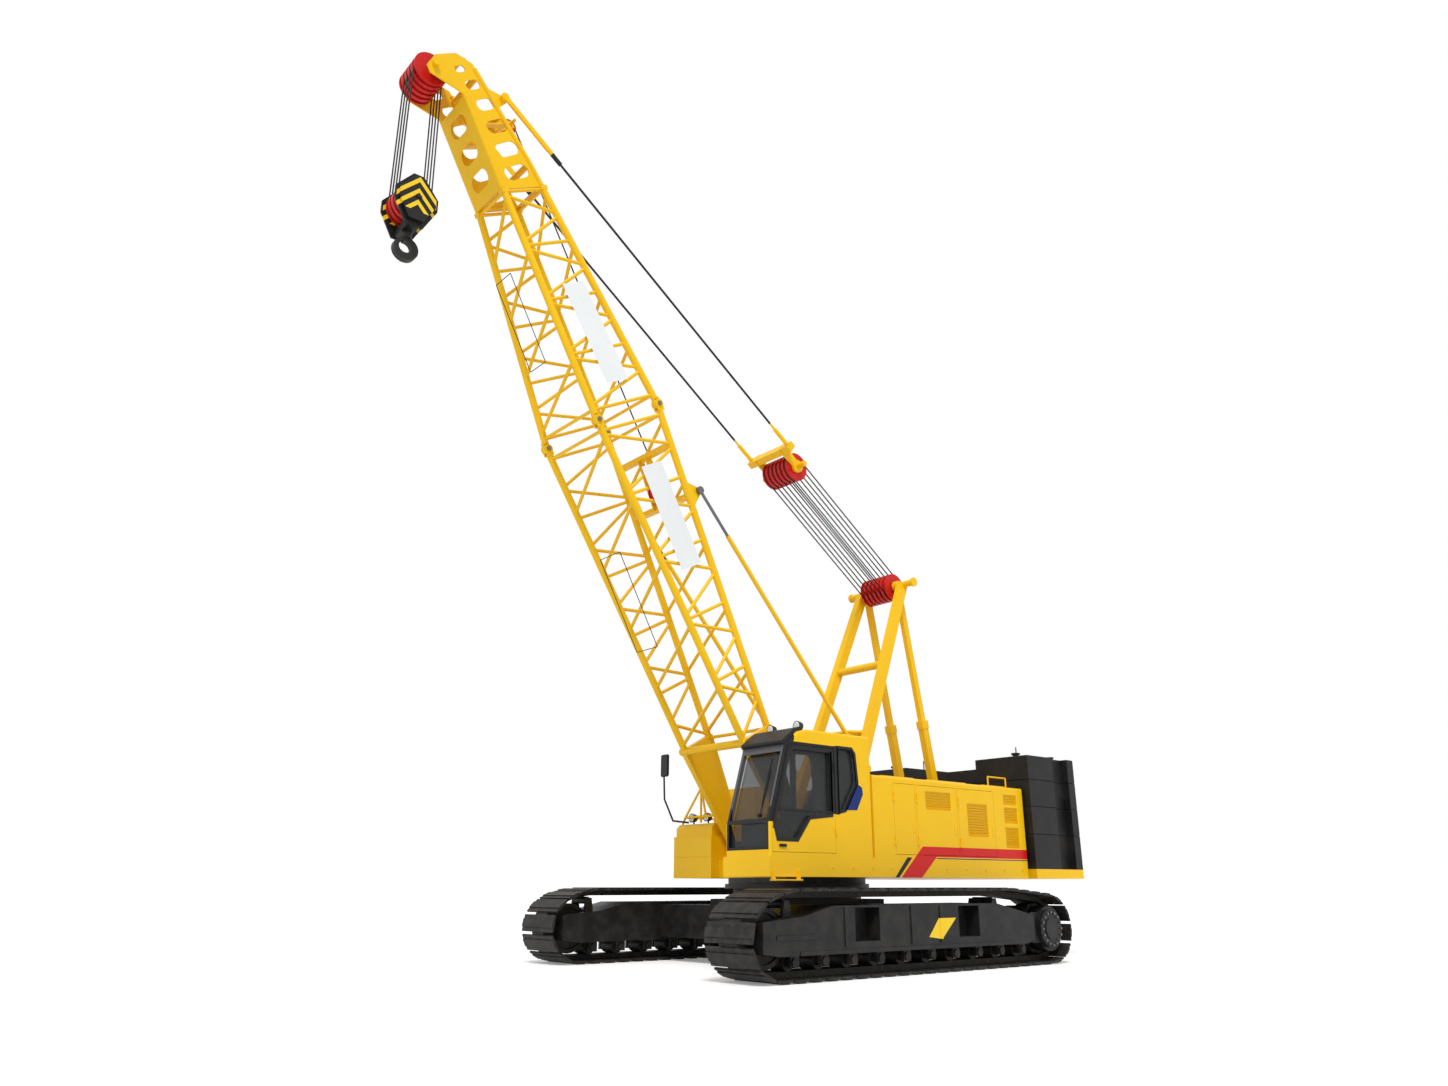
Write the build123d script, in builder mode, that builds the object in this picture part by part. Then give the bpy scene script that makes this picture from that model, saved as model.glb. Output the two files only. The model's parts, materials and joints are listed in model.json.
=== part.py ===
from build123d import *
import os
from math import asin, atan2, ceil, cos, degrees, hypot, pi, radians, sin, sqrt

# Crawler crane with a two-section lattice boom.
# Millimetres. +X is forward, +Y is the operator's left, +Z is up.
# The origin is on the ground, on the slewing axis.

os.makedirs("parts", exist_ok=True)

# ---------------------------------------------------------------- driving dimensions
FIT = 0.3                      # gap at seats and running faces

# Crawlers
track_gauge = 4150             # between the centre lines of the two tracks
shoe_width = 820
shoe_count = 52                # shoes in one loop
shoe_thickness = 40
grouser_height = 14             # raised bar on each shoe
link_width = 300
link_outer, link_inner = 35, 110   # depth of the link band below the shoe faces
wheel_base = 5220              # idler centre to sprocket centre
wheel_height = 466
track_top = 1015
carrier_front, carrier_rear = 2330, -1570
roller_pitch = 481
roller_front = 2267
roller_count = 10
frame_half = 380               # half width of a track frame
frame_bottom, frame_top = 285, 815

# Carbody and slewing ring
beam_x, beam_length = 1000, 430    # axle beams, fore and aft of the slewing axis
beam_bottom, beam_top = 330, 780
ring_radius = 1040
ring_bottom, ring_split = 1000, 1065

# Upperworks
deck_bottom, deck_top = 1145, 1390
deck_half = 1630
deck_front_left, deck_front_right = 2000, 1000
deck_rear = -3350
aisle_half = 740               # half width of the middle bay that takes the boom foot
house_top = 2490
house_front = 90
panel = 40                     # wall of the engine house

# Cab
cab_inner = 770
cab_rear = 110
cab_roof = 3000
cab_wall = 50

# Counterweight
weight_front, weight_side = -3400, 1750
tail_radius = 4990

# Gantry
apex_x, apex_z = -2150, 5850
gantry_foot_x, gantry_foot_z = -270, 1500

# Boom, measured along its own axis s from the foot pin, t towards its back
foot_x, foot_z = 530, 1520
boom_angle = 61.5
boom_half = 650                # chord centre lines either side of the middle, in the base
chord_radius = 50
lacing_radius = 24
foot_end = 1700
tip_end = 9950
head_shaft_s, head_shaft_t = 11755, -670
head_half = 350
head_plate = 20

# Suspension line and backstops
pendant_s, pendant_t = 11250, 220
bridle_run = 2760              # apex shaft to bridle shaft
pendant_y = 430                # pendants stand outside the head's edge tubes
link_half = 15                 # half the thickness of a pendant link
socket_radius = 32
backstop_s, backstop_t = 5150, 640
backstop_foot_x, backstop_foot_z = -790, 2700
backstop_y = 736

# Hoist
sheave_radius = 240
block_z = 9500                 # hook block shaft above the ground

boom_dir = (cos(radians(boom_angle)), sin(radians(boom_angle)))


def on_boom(s, t, y=0.0):
    """Point at station s along the boom and t towards its back."""
    c, d = boom_dir
    return Vector(foot_x + s * c - t * d, y, foot_z + s * d + t * c)


boom_side = Plane(origin=(foot_x, 0, foot_z), x_dir=(boom_dir[0], 0, boom_dir[1]), z_dir=(0, -1, 0))


def boom_view(y):
    """Side view of the boom at y: x along the boom, y towards its back."""
    return Plane(origin=(foot_x, y, foot_z), x_dir=boom_side.x_dir, z_dir=(0, -1, 0))


def keep(piece, name):
    """Label a finished sub-part and write it."""
    piece.part.label = name
    export_step(piece.part, f"parts/{name}.step")


def bar(start, end, radius):
    """Round bar between two points."""
    run = Vector(end) - Vector(start)
    return Solid.make_cylinder(radius, run.length, Plane(origin=start, z_dir=run))


def beam(start, end, width, depth, side=(0, 1, 0)):
    """Rectangular bar between two points, its width along side."""
    run = Vector(end) - Vector(start)
    place = Plane(origin=start, x_dir=side, z_dir=run)
    low = place.from_local_coords((-width / 2, -depth / 2, 0))
    return Solid.make_box(width, depth, run.length, Plane(origin=low, x_dir=place.x_dir, z_dir=place.z_dir))


def across(y):
    """Side-view plane at y, with its normal towards the left."""
    return Plane(origin=(0, y, 0), x_dir=(1, 0, 0), z_dir=(0, -1, 0))


# ---------------------------------------------------------------- crawlers
def loop_points(depth, count):
    """Evenly spaced points on the track loop, depth below the shoe faces."""
    r = wheel_height - depth
    top = track_top - depth
    front, rear = wheel_base / 2, -wheel_base / 2
    crest, dip = carrier_front + 120, carrier_rear - 120

    def leave(cx, tx, turn):
        away = Vector(tx - cx, top - wheel_height, 0)
        lift = atan2(away.Y, away.X) - turn * pi / 2 + turn * asin(r / away.length)
        return lift

    a = leave(front, crest, 1)
    b = leave(rear, dip, -1)
    with BuildLine() as loop:
        Line((rear, depth), (front, depth))
        rise = CenterArc((front, wheel_height), r, -90, 90 + degrees(a))
        climb = Line(rise @ 1, (crest, top))
        run = Line(climb @ 1, (dip, top))
        fall = Line(run @ 1, (rear + r * cos(b), wheel_height + r * sin(b)))
        CenterArc((rear, wheel_height), r, degrees(b), 270 - degrees(b))
    wire = loop.wires()[0]
    return [wire @ ((i + 0.25) / count) for i in range(count)]


def make_track(side):
    pins = loop_points((link_outer + link_inner) / 2, shoe_count)
    centre = side * track_gauge / 2
    mean = (link_outer + link_inner) / 2
    with BuildPart() as track:
        with BuildSketch(across(centre)):
            with BuildLine():
                Polyline(*[(p.X, p.Y) for p in pins], close=True)
            make_face()
            offset(amount=mean - link_outer, kind=Kind.INTERSECTION)
            with BuildLine():
                Polyline(*[(p.X, p.Y) for p in pins], close=True)
                offset(amount=-(link_inner - mean), kind=Kind.INTERSECTION, mode=Mode.REPLACE)
            make_face(mode=Mode.SUBTRACT)
        extrude(amount=link_width / 2, both=True)
        with BuildSketch(across(centre)):
            for p, q in zip(pins, pins[1:] + pins[:1]):
                along = (q - p).normalized()
                out = Vector(along.Y, -along.X, 0)
                turn = (0, 0, degrees(atan2(along.Y, along.X)))
                plate = (p + q) / 2 + out * (mean - grouser_height - (shoe_thickness - grouser_height) / 2)
                with Locations(Location((plate.X, plate.Y, 0), turn)):
                    Rectangle((q - p).length - 16, shoe_thickness - grouser_height)
                ridge = (p + q) / 2 + out * (mean - grouser_height)
                with Locations(Location((ridge.X, ridge.Y, 0), turn)):
                    Rectangle((q - p).length * 0.45, 2 * grouser_height)
        extrude(amount=shoe_width / 2, both=True)
    return track


track_left = make_track(1)
keep(track_left, "track_left")
with BuildPart() as track_right:
    add(mirror(track_left.part, about=Plane.XZ))
keep(track_right, "track_right")


def make_frame(side):
    """Box frame of one crawler, with a fork for the idler and a boss for the drive."""
    centre = side * track_gauge / 2
    outline = [(-2200, 330), (-2020, frame_bottom), (2600, frame_bottom), (2860, 320), (2860, 650),
               (2252, 700), (1751, frame_top), (-1365, frame_top), (-2010, 690), (-2200, 640)]
    pockets = ((1180, 430), (-760, 430))       # centre and width of the openings in the outer plate
    with BuildPart() as frame:
        with BuildSketch(across(centre)):
            Polygon(*outline, align=None)
        extrude(amount=frame_half, both=True)
        with BuildSketch(Plane.XY.offset(frame_bottom)):
            with Locations((0, centre)):
                Rectangle(4700, 360)
        extrude(amount=60, mode=Mode.SUBTRACT)
        with BuildSketch(Plane.XY.offset(frame_bottom)):
            with Locations((2600, centre)):
                Rectangle(760, 310)
        extrude(amount=600, mode=Mode.SUBTRACT)
        with BuildSketch(across(centre + side * frame_half)):
            for x, width in pockets:
                with Locations((x, 600)):
                    Rectangle(width, 380)
        extrude(amount=side * 220, mode=Mode.SUBTRACT)
        with BuildSketch(across(centre)):
            with Locations((-wheel_base / 2, wheel_height)):
                Circle(300)
            with Locations((-2380, 485)):
                Rectangle(400, 400)
        extrude(amount=frame_half - 40, both=True)
        with BuildSketch(across(centre + side * (frame_half - 60))):
            with Locations((-wheel_base / 2 + 60, wheel_height)):
                Circle(250)
        extrude(amount=side * -90)
        with BuildSketch(across(centre + side * (frame_half - 60))):
            with Locations((-wheel_base / 2 + 60, wheel_height)):
                Circle(140)
        extrude(amount=side * -105)
        for x in (1560, 380, -180):
            with BuildSketch(across(centre + side * frame_half)):
                with Locations((x, 575)):
                    Rectangle(36, 440)
            extrude(amount=side * -14)
        with BuildSketch(across(centre + side * frame_half)):
            with Locations((2350, 480)):
                Rectangle(620, 50)
            with Locations((300, frame_bottom + 22)):
                Rectangle(4000, 44)
        extrude(amount=side * -12)
        with BuildSketch(across(centre)):
            with Locations((-wheel_base / 2, wheel_height)):
                Circle(420)
            with Locations((-wheel_base / 2 - 200, wheel_height)):
                Rectangle(500, 900)
        extrude(amount=155, both=True, mode=Mode.SUBTRACT)
    return frame


track_frame_left = make_frame(1)
keep(track_frame_left, "track_frame_left")
with BuildPart() as track_frame_right:
    add(mirror(track_frame_left.part, about=Plane.XZ))
keep(track_frame_right, "track_frame_right")

lower_radius, carrier_radius = 95, 50
lower_z = link_inner + FIT + lower_radius
carrier_z = track_top - link_inner - 15 - carrier_radius
pin_radius = wheel_height - (link_outer + link_inner) / 2
link_pitch = 13360 / shoe_count
wheel_radius = pin_radius * cos(link_pitch / 2 / pin_radius) - (link_inner - link_outer) / 2 - FIT


def frame_top_at(x):
    """Height of the sloping ends of a track frame's top plate."""
    if x > 0:
        return 650 + (2860 - x) * 50 / 608
    return frame_top - (-1365 - x) * 125 / 645


with BuildPart() as track_rollers:
    for side in (1, -1):
        centre = side * track_gauge / 2
        stations = [(roller_front - i * roller_pitch, lower_z) for i in range(roller_count)]
        with BuildSketch(across(centre)):
            with Locations(*stations):
                Circle(lower_radius)
        extrude(amount=135, both=True)
        with BuildSketch(across(centre)):
            with Locations(*stations):
                Circle(52)
        extrude(amount=270, both=True)
        for y in (centre - 225, centre + 225):
            with BuildSketch(across(y)):
                with Locations(*[(x, (frame_bottom - FIT + 150) / 2) for x, z in stations]):
                    Rectangle(130, frame_bottom - FIT - 150)
            extrude(amount=25, both=True)
        for x in (carrier_front, carrier_rear):
            with BuildSketch(across(centre)):
                with Locations((x, carrier_z)):
                    Circle(carrier_radius)
            extrude(amount=150, both=True)
            for y in (centre - 175, centre + 175):
                with BuildSketch(across(y)):
                    Polygon((x - 70, frame_top_at(x - 70) + FIT), (x + 70, frame_top_at(x + 70) + FIT),
                            (x + 40, carrier_z + 35), (x - 40, carrier_z + 35), align=None)
                extrude(amount=25, both=True)
keep(track_rollers, "track_rollers")

with BuildPart() as track_wheels:
    for side in (1, -1):
        for x, hub in ((wheel_base / 2, 90), (-wheel_base / 2, 230)):
            with BuildSketch(across(side * track_gauge / 2)):
                with Locations((x, wheel_height)):
                    Circle(wheel_radius)
                if x < 0:
                    with Locations((x, wheel_height)):
                        with PolarLocations(wheel_radius + 4, 13):
                            Circle(24, mode=Mode.SUBTRACT)
            extrude(amount=110, both=True)
            if x > 0:
                for face in (-110, 110):
                    with BuildSketch(across(side * track_gauge / 2 + face)):
                        with Locations((x, wheel_height)):
                            Circle(wheel_radius - 55)
                            Circle(150, mode=Mode.SUBTRACT)
                    extrude(amount=30, both=True, mode=Mode.SUBTRACT)
            with BuildSketch(across(side * track_gauge / 2)):
                with Locations((x, wheel_height)):
                    Circle(hub)
            extrude(amount=155 - FIT, both=True)
keep(track_wheels, "track_wheels")

# ---------------------------------------------------------------- carbody and slewing ring
reach = track_gauge / 2 - frame_half
with BuildPart() as carbody:
    with BuildSketch(Plane.XY.offset(beam_bottom)):
        with Locations((beam_x, 0), (-beam_x, 0)):
            Rectangle(beam_length, 2 * reach)
    extrude(amount=beam_top - beam_bottom)
    with BuildSketch(Plane.XY.offset(beam_bottom)):
        Rectangle(2 * beam_x, 1900)
        chamfer(vertices(), length=200)
    extrude(amount=beam_top + 80 - beam_bottom)
    with BuildSketch(Plane.XY.offset(beam_top)):
        Circle(920)
    extrude(amount=ring_bottom - beam_top)
    with BuildSketch(Plane.XY.offset(beam_bottom)):
        Circle(560)
    extrude(amount=800, mode=Mode.SUBTRACT)
    with BuildSketch(Plane.XY.offset(ring_bottom)):
        Circle(ring_radius)
        Circle(790, mode=Mode.SUBTRACT)
    extrude(amount=ring_split - ring_bottom)
keep(carbody, "carbody")

with BuildPart() as slew_ring:
    with BuildSketch(Plane.XY.offset(ring_split + FIT)):
        Circle(ring_radius - 50)
        Circle(740, mode=Mode.SUBTRACT)
    extrude(amount=deck_bottom - ring_split - FIT)
keep(slew_ring, "slew_ring")

# ---------------------------------------------------------------- revolving deck
leg_half = 50                  # half thickness of a boom foot leg
lug_gap, lug_plate = 6, 30
pin_r = 45
with BuildPart() as deck:
    with BuildSketch(Plane.XY.offset(deck_bottom)):
        Polygon((deck_rear, deck_half), (deck_front_left, deck_half), (deck_front_left, aisle_half),
                (deck_front_right - 150, aisle_half), (deck_front_right - 150, -aisle_half),
                (deck_front_right, -aisle_half), (deck_front_right, -deck_half),
                (deck_rear, -deck_half), align=None)
    extrude(amount=deck_top - deck_bottom)
    for side in (1, -1):
        for y in [side * (boom_half + away * (leg_half + lug_gap + lug_plate / 2)) for away in (-1, 1)]:
            with BuildSketch(across(y)):
                Polygon((foot_x - 420, deck_top - 30), (foot_x + 300, deck_top - 30),
                        (foot_x + 110, foot_z + 30),
                        (foot_x - 110, foot_z + 30), align=None)
                with Locations((foot_x, foot_z)):
                    Circle(115)
            extrude(amount=lug_plate / 2, both=True)
        with BuildSketch(across(side * boom_half)):
            with Locations((foot_x, foot_z)):
                Circle(pin_r)
        extrude(amount=leg_half + lug_gap + lug_plate, both=True)
keep(deck, "deck")

# ---------------------------------------------------------------- cab
cab_profile = [(cab_rear, deck_top), (1990, deck_top), (1990, 1790), (1695, 2785),
               (1480, 2955), (1300, cab_roof),
               (cab_rear, cab_roof)]
window = [(1457, 2770), (480, 2800), (430, 2740), (390, 2360), (634, 1992),
          (1282, 1861), (1525, 1589), (1851, 1589),
          (1930, 1786), (1700, 2560), (1640, 2740)]
door_outline = [(830, 1440), (1955, 1440), (1955, 1785), (1660, 2780), (830, 2780)]
door_window = [(900, 1925), (1300, 1880), (1525, 1600), (1850, 1600), (1905, 1790),
               (1640, 2660), (1560, 2730), (900, 2730)]
hinge_y = deck_half + 11


def hinge(x, z, toward):
    """Barrel and leaf of one half of an outside hinge, its leaf pointing toward +X or -X."""
    with Locations((x, hinge_y, z)):
        Cylinder(10, 60)
    with Locations((x + toward * 19.5, deck_half + 2.5, z)):
        Box(38, 7, 60)


with BuildPart() as cab_shell:
    with BuildSketch(across((cab_inner + deck_half) / 2)):
        Polygon(*cab_profile, align=None)
    extrude(amount=(deck_half - cab_inner) / 2, both=True)
    for skin in (cab_shell.faces().sort_by(Axis.Y)[-1], cab_shell.faces().sort_by(Axis.Y)[0]):
        fillet([e for e in skin.edges() if e.center().Z > deck_top + 10], 38)
    with BuildSketch(across((cab_inner + deck_half) / 2)):
        Polygon(*cab_profile, align=None)
        offset(amount=-cab_wall, kind=Kind.INTERSECTION, mode=Mode.REPLACE)
    extrude(amount=(deck_half - cab_inner) / 2 - cab_wall, both=True, mode=Mode.SUBTRACT)
    with BuildSketch(across((cab_inner + deck_half) / 2)):
        Polygon(*window, align=None)
    extrude(amount=1000, both=True, mode=Mode.SUBTRACT)
    for y in (deck_half - 20, cab_inner + 20):
        with BuildSketch(across(y)):
            with Locations((785, 2350)):
                Rectangle(80, 960)
        extrude(amount=20, both=True)
    with BuildSketch(Plane.YZ.offset(1000)):
        with Locations((1200, 2265), (1200, 1640)):
            Rectangle(720, 850)
        with Locations((1200, 1810)):
            Rectangle(760, 50, mode=Mode.SUBTRACT)
        with Locations((1200, 1300)):
            Rectangle(760, 400, mode=Mode.SUBTRACT)
    extrude(amount=1200, mode=Mode.SUBTRACT)
    with BuildSketch(across(deck_half)):
        Polygon(*door_outline, align=None)
        offset(amount=5)
    extrude(amount=200, both=True, mode=Mode.SUBTRACT)
    for z in (1700, 2500):
        hinge(door_outline[0][0], z, -1)
keep(cab_shell, "cab_shell")

lean = Vector(1695 - 1990, 0, 2785 - 1790).normalized()
inward = Vector(-lean.Z, 0, lean.X)
pane_y = deck_half - cab_wall - FIT - 3
with BuildPart() as cab_glass:
    with BuildSketch(across(pane_y)):
        Polygon((745, 2815), (480, 2815), (415, 2750), (375, 2360), (620, 1980), (745, 1935), align=None)
    extrude(amount=3, both=True)
    with BuildSketch(across(cab_inner + cab_wall + FIT + 3)):
        Polygon((1440, 2785), (480, 2815), (415, 2750), (375, 2360), (620, 1975), (1275, 1845), (1515, 1575),
                (1845, 1575), (1900, 1786), (1675, 2560), (1600, 2745), align=None)
    extrude(amount=3, both=True)
    low = Vector(1990, 0, 1790) + lean * 45 + inward * (cab_wall + FIT)
    high = low + lean * 890
    with BuildSketch(across((cab_inner + deck_half) / 2)):
        Polygon(*[(p.X, p.Z) for p in (low, high, high + inward * 6, low + inward * 6)], align=None)
    extrude(amount=368, both=True)
    with Locations((1990 - cab_wall - FIT - 3, (cab_inner + deck_half) / 2, 1635)):
        Box(6, 736, 280)
keep(cab_glass, "cab_glass")

with BuildPart() as cab_door:
    with BuildSketch(across(deck_half - 20)):
        Polygon(*door_outline, align=None)
        Polygon(*door_window, align=None, mode=Mode.SUBTRACT)
    extrude(amount=20, both=True)
    for z in (1700 + 60 + FIT, 2500 + 60 + FIT):
        hinge(door_outline[0][0], z, 1)
keep(cab_door, "cab_door")

with BuildPart() as operator_seat:
    with Locations((750, 1200, deck_top + cab_wall + 150)):
        Box(450, 420, 300)
    with Locations((750, 1200, deck_top + cab_wall + 350)):
        Box(520, 480, 100)
    with Locations((520, 1200, deck_top + cab_wall + 700)):
        Box(110, 480, 620)
keep(operator_seat, "operator_seat")

# ---------------------------------------------------------------- houses, winches, engine
door_bottom, door_top = deck_top + 60, house_top - 90
doors = (("service_door_front", -335, -778), ("service_door_middle", -822, -1705),
         ("service_door_rear", -1750, -2600))
# louvred openings in the left side: door, middle x and z, length, height, slats
vents = (("service_door_middle", -1295, 2200, 560, 250, 7), ("service_door_rear", -2190, 1965, 480, 470, 12))
# grilles behind the rear door: middle x and z, length, height, slats
rear_grilles = ((-3020, 2300, 330, 150, 4), (-3020, 2065, 330, 230, 6), (-3020, 1735, 330, 300, 8))
# plates bolted on the roof: middle x and y, length, width
roof_covers = ((-600, 1215, 700, 560), (-1700, 1215, 900, 560), (-2850, 1215, 600, 560))


def louvre(x, z, length, height, slats):
    """Opening in the left wall with sloping slats across it."""
    with Locations((x, deck_half - panel / 2, z)):
        Box(length, 2 * panel, height, mode=Mode.SUBTRACT)
    pitch = height / slats
    with Locations((x, deck_half - panel + 5, z)):
        Box(length + 4, 10, height + 4)
    for i in range(slats):
        with Locations(Location((x, deck_half - panel / 2, z - height / 2 + (i + 0.5) * pitch), (-35, 0, 0))):
            Box(length + 2, 8, pitch * 1.15)


with BuildPart() as engine_house:
    with BuildSketch(Plane.XY.offset(deck_top)):
        with Locations(((deck_rear + house_front) / 2, (deck_half + 800) / 2)):
            Rectangle(house_front - deck_rear, deck_half - 800)
    extrude(amount=house_top - deck_top)
    with BuildSketch(Plane.XY.offset(deck_top)):
        with Locations(((deck_rear + house_front) / 2, (deck_half + 800) / 2)):
            Rectangle(house_front - deck_rear - 2 * panel, deck_half - 800 - 2 * panel)
    extrude(amount=house_top - deck_top - panel, mode=Mode.SUBTRACT)
    for name, x0, x1 in doors:
        with Locations(((x0 + x1) / 2, deck_half, (door_bottom + door_top) / 2)):
            Box(x0 - x1 + 10, 3 * panel, door_top - door_bottom + 10, mode=Mode.SUBTRACT)
        for z in (door_bottom + 150, door_top - 210):
            hinge(x0, z, 1)
    for grille in rear_grilles:
        louvre(*grille)
    fillet(engine_house.edges().filter_by(Axis.X).sort_by(lambda e: e.center().Z + e.center().Y)[-1:], 35)
    with BuildSketch(Plane.XY.offset(house_top - 5)):
        for x, y, length, width in roof_covers:
            with Locations((x, y)):
                RectangleRounded(length, width, 20)
    extrude(amount=30)
keep(engine_house, "engine_house")
for name, x0, x1 in doors:
    with BuildPart() as door:
        with Locations(((x0 + x1) / 2, deck_half - panel / 2, (door_bottom + door_top) / 2)):
            Box(x0 - x1, panel, door_top - door_bottom)
        for z in (door_bottom + 210 + FIT, door_top - 150 + FIT):
            hinge(x0, z, -1)
        for owner, x, z, length, height, slats in vents:
            if owner == name:
                louvre(x, z, length, height, slats)
        with Locations((x1 + 45, deck_half, (door_bottom + door_top) / 2 - 120)):
            Box(60, 12, 110)
    keep(door, name)

with BuildPart() as engine:
    with Locations((-2000, 1215, deck_top + 400)):
        Box(1500, 600, 800)
keep(engine, "engine")

with BuildPart() as right_house:
    with BuildSketch(Plane.XY.offset(deck_top)):
        with Locations(((deck_rear + house_front) / 2, -(deck_half + 800) / 2)):
            Rectangle(house_front - deck_rear, deck_half - 800)
    extrude(amount=house_top - deck_top)
    fillet(right_house.edges().filter_by(Axis.X).sort_by(lambda e: e.center().Z - e.center().Y)[-1:], 35)
    for x in (-780, -1720, -2640):
        with Locations((x, -deck_half, (deck_top + house_top) / 2)):
            Box(14, 16, house_top - deck_top, mode=Mode.SUBTRACT)
    for x, y, length, width in roof_covers:
        with Locations((x, -y, house_top + 12)):
            Box(length, width, 30)
    with BuildSketch(Plane.XY.offset(house_top)):
        with Locations((-2300, -1000)):
            Circle(75)
    extrude(amount=180)
keep(right_house, "right_house")

with BuildPart() as front_boxes:
    with BuildSketch(Plane.XY.offset(deck_top)):
        with Locations(((deck_front_right + house_front + 10) / 2, -(deck_half + aisle_half) / 2)):
            Rectangle(deck_front_right - house_front - 10, deck_half - aisle_half)
    extrude(amount=350)
    with Locations((deck_front_right, -(deck_half + aisle_half) / 2, deck_top + 55)):
        Box(12, deck_half - aisle_half, 8, mode=Mode.SUBTRACT)
    with Locations((deck_front_right - 330, -(deck_half + aisle_half) / 2, deck_top + 350 + 90)):
        Box(600, deck_half - aisle_half - 40, 184)
    chamfer(front_boxes.edges().filter_by(Axis.Y).sort_by(lambda e: e.center().X + e.center().Z)[-1:], 60)
keep(front_boxes, "front_boxes")

# Rails on the upperworks: start, end, radius
rail_y, rail_top, rail_foot = -deck_half + 60, deck_top + 1060, deck_top + 532 + FIT + 17
rails = (
    ((880, rail_y, rail_foot), (880, rail_y + 60, rail_top - 420), 17),
    ((880, rail_y + 60, rail_top - 420), (880, rail_y + 440, rail_top), 17),
    ((880, rail_y + 440, rail_top), (880, rail_y + 560, rail_top - 420), 17),
    ((880, rail_y + 60, rail_top - 420), (880, rail_y + 780, rail_top - 420), 17),
    ((880, rail_y + 780, rail_top - 420), (880, rail_y + 780, rail_foot), 17),
    ((880, rail_y + 440, rail_top), (880, rail_y + 440, rail_foot), 17),
    ((880, rail_y + 60, rail_top - 420), (300, rail_y + 60, rail_top - 420), 17),
    ((300, rail_y + 60, rail_top - 420), (300, rail_y + 60, rail_foot), 17),
)
with BuildPart() as guard_rails:
    add([bar(start, end, radius) for start, end, radius in rails])
    add([Solid.make_sphere(17, Plane(origin=start)) for start, end, radius in rails])
keep(guard_rails, "guard_rails")

with BuildPart() as winches:
    for x in (-500, -1350, -2250):
        with BuildSketch(across(0)):
            with Locations((x, 1800)):
                Circle(200)
        extrude(amount=520, both=True)
        with BuildSketch(across(0)):
            with Locations((x, 1800)):
                Circle(300)
                Circle(190, mode=Mode.SUBTRACT)
        extrude(amount=400, both=True)
        with BuildSketch(across(0)):
            with Locations((x, 1800)):
                Circle(310)
        extrude(amount=370, both=True, mode=Mode.SUBTRACT)
        with BuildSketch(across(0)):
            with Locations((x, 1800)):
                Circle(200)
        extrude(amount=370, both=True)
        for y in (-480, 480):
            with Locations((x, y, (deck_top + 1850) / 2)):
                Box(500, 50, 1850 - deck_top)
keep(winches, "winches")

# ---------------------------------------------------------------- counterweight
weight_tiers = (("counterweight_1", 1283, 1807), ("counterweight_2", 1807, 2226),
                ("counterweight_3", 2226, 2639),
                ("counterweight_top", 2639, 3010))


def weight_plan():
    """Plan of the counterweight: straight front and sides, tail struck from the slewing axis."""
    side_x = -sqrt(tail_radius ** 2 - weight_side ** 2)
    with BuildSketch() as plan:
        with BuildLine():
            Polyline((side_x, weight_side), (weight_front, weight_side), (weight_front, -weight_side),
                     (side_x, -weight_side))
            ThreePointArc((side_x, -weight_side), (-tail_radius, 0), (side_x, weight_side))
        make_face()
    return plan.sketch


with BuildPart() as counterweight_tray:
    with BuildSketch(Plane.XY.offset(deck_bottom)):
        add(weight_plan())
    extrude(amount=weight_tiers[0][1] - deck_bottom)
    with Locations(((weight_front + deck_rear) / 2, 0, (deck_bottom + deck_top) / 2 - 55)):
        Box(deck_rear - weight_front, 1400, deck_top - deck_bottom - 110)
keep(counterweight_tray, "counterweight_tray")
for name, low, high in weight_tiers:
    with BuildPart() as slab:
        with BuildSketch(Plane.XY.offset(low)):
            add(weight_plan())
            with Locations((-4290, weight_side), (-4290, -weight_side)):
                Rectangle(420, 240, mode=Mode.SUBTRACT)
        extrude(amount=high - low)
        chamfer(slab.edges().group_by(Axis.Z)[-1], 12)
        if name == "counterweight_top":
            with Locations((-4200, 0, high)):
                Box(2000, 1500, 300, mode=Mode.SUBTRACT)
            for x in (-3750, -4700):
                for y in (-1300, 1300):
                    with Locations((x, y, high + 30)):
                        Cylinder(45, 60)
                    with Locations((x, y, high + 75)):
                        Cylinder(70, 30)
    keep(slab, name)

# ---------------------------------------------------------------- gantry
with BuildPart() as gantry_front:
    for side in (1, -1):
        top = (apex_x, side * 450, apex_z)
        foot = (gantry_foot_x, side * 650, gantry_foot_z)
        add(beam(foot, top, 120, 150))
        with Locations((gantry_foot_x, side * 650, (deck_top + gantry_foot_z + 60) / 2)):
            Box(260, 150, gantry_foot_z + 60 - deck_top)
    for share, radius in ((0.67, 62), (0.41, 45)):
        x = gantry_foot_x + (apex_x - gantry_foot_x) * share
        z = gantry_foot_z + (apex_z - gantry_foot_z) * share
        half = 650 - 200 * share
        add(bar((x, -half, z), (x, half, z), radius))
    for y0, y1, x0, x1 in ((-half + 30, -half + 180, 0, 260), (-half + 180, half - 180, 260, 260),
                           (half - 180, half - 30, 260, 0)):
        add(bar((x + x0, y0, z), (x + x1, y1, z), 24))
        add(Solid.make_sphere(24, Plane(origin=(x + x1, y1, z))))
    for side in (1, -1):
        with BuildSketch(across(side * 690)):
            with Locations((apex_x, apex_z)):
                Circle(75)
        extrude(amount=side * -30)
    for side in (1, -1):
        with BuildSketch(across(side * 640)):
            with Locations((backstop_foot_x, backstop_foot_z)):
                Circle(28)
        extrude(amount=side * -140)
        with BuildSketch(across(side * 620)):
            with Locations((backstop_foot_x, backstop_foot_z)):
                Circle(75)
        extrude(amount=side * -75)
    with BuildSketch(across(0)):
        with Locations((apex_x, apex_z)):
            Circle(55)
    extrude(amount=700, both=True)
keep(gantry_front, "gantry_front")

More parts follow.
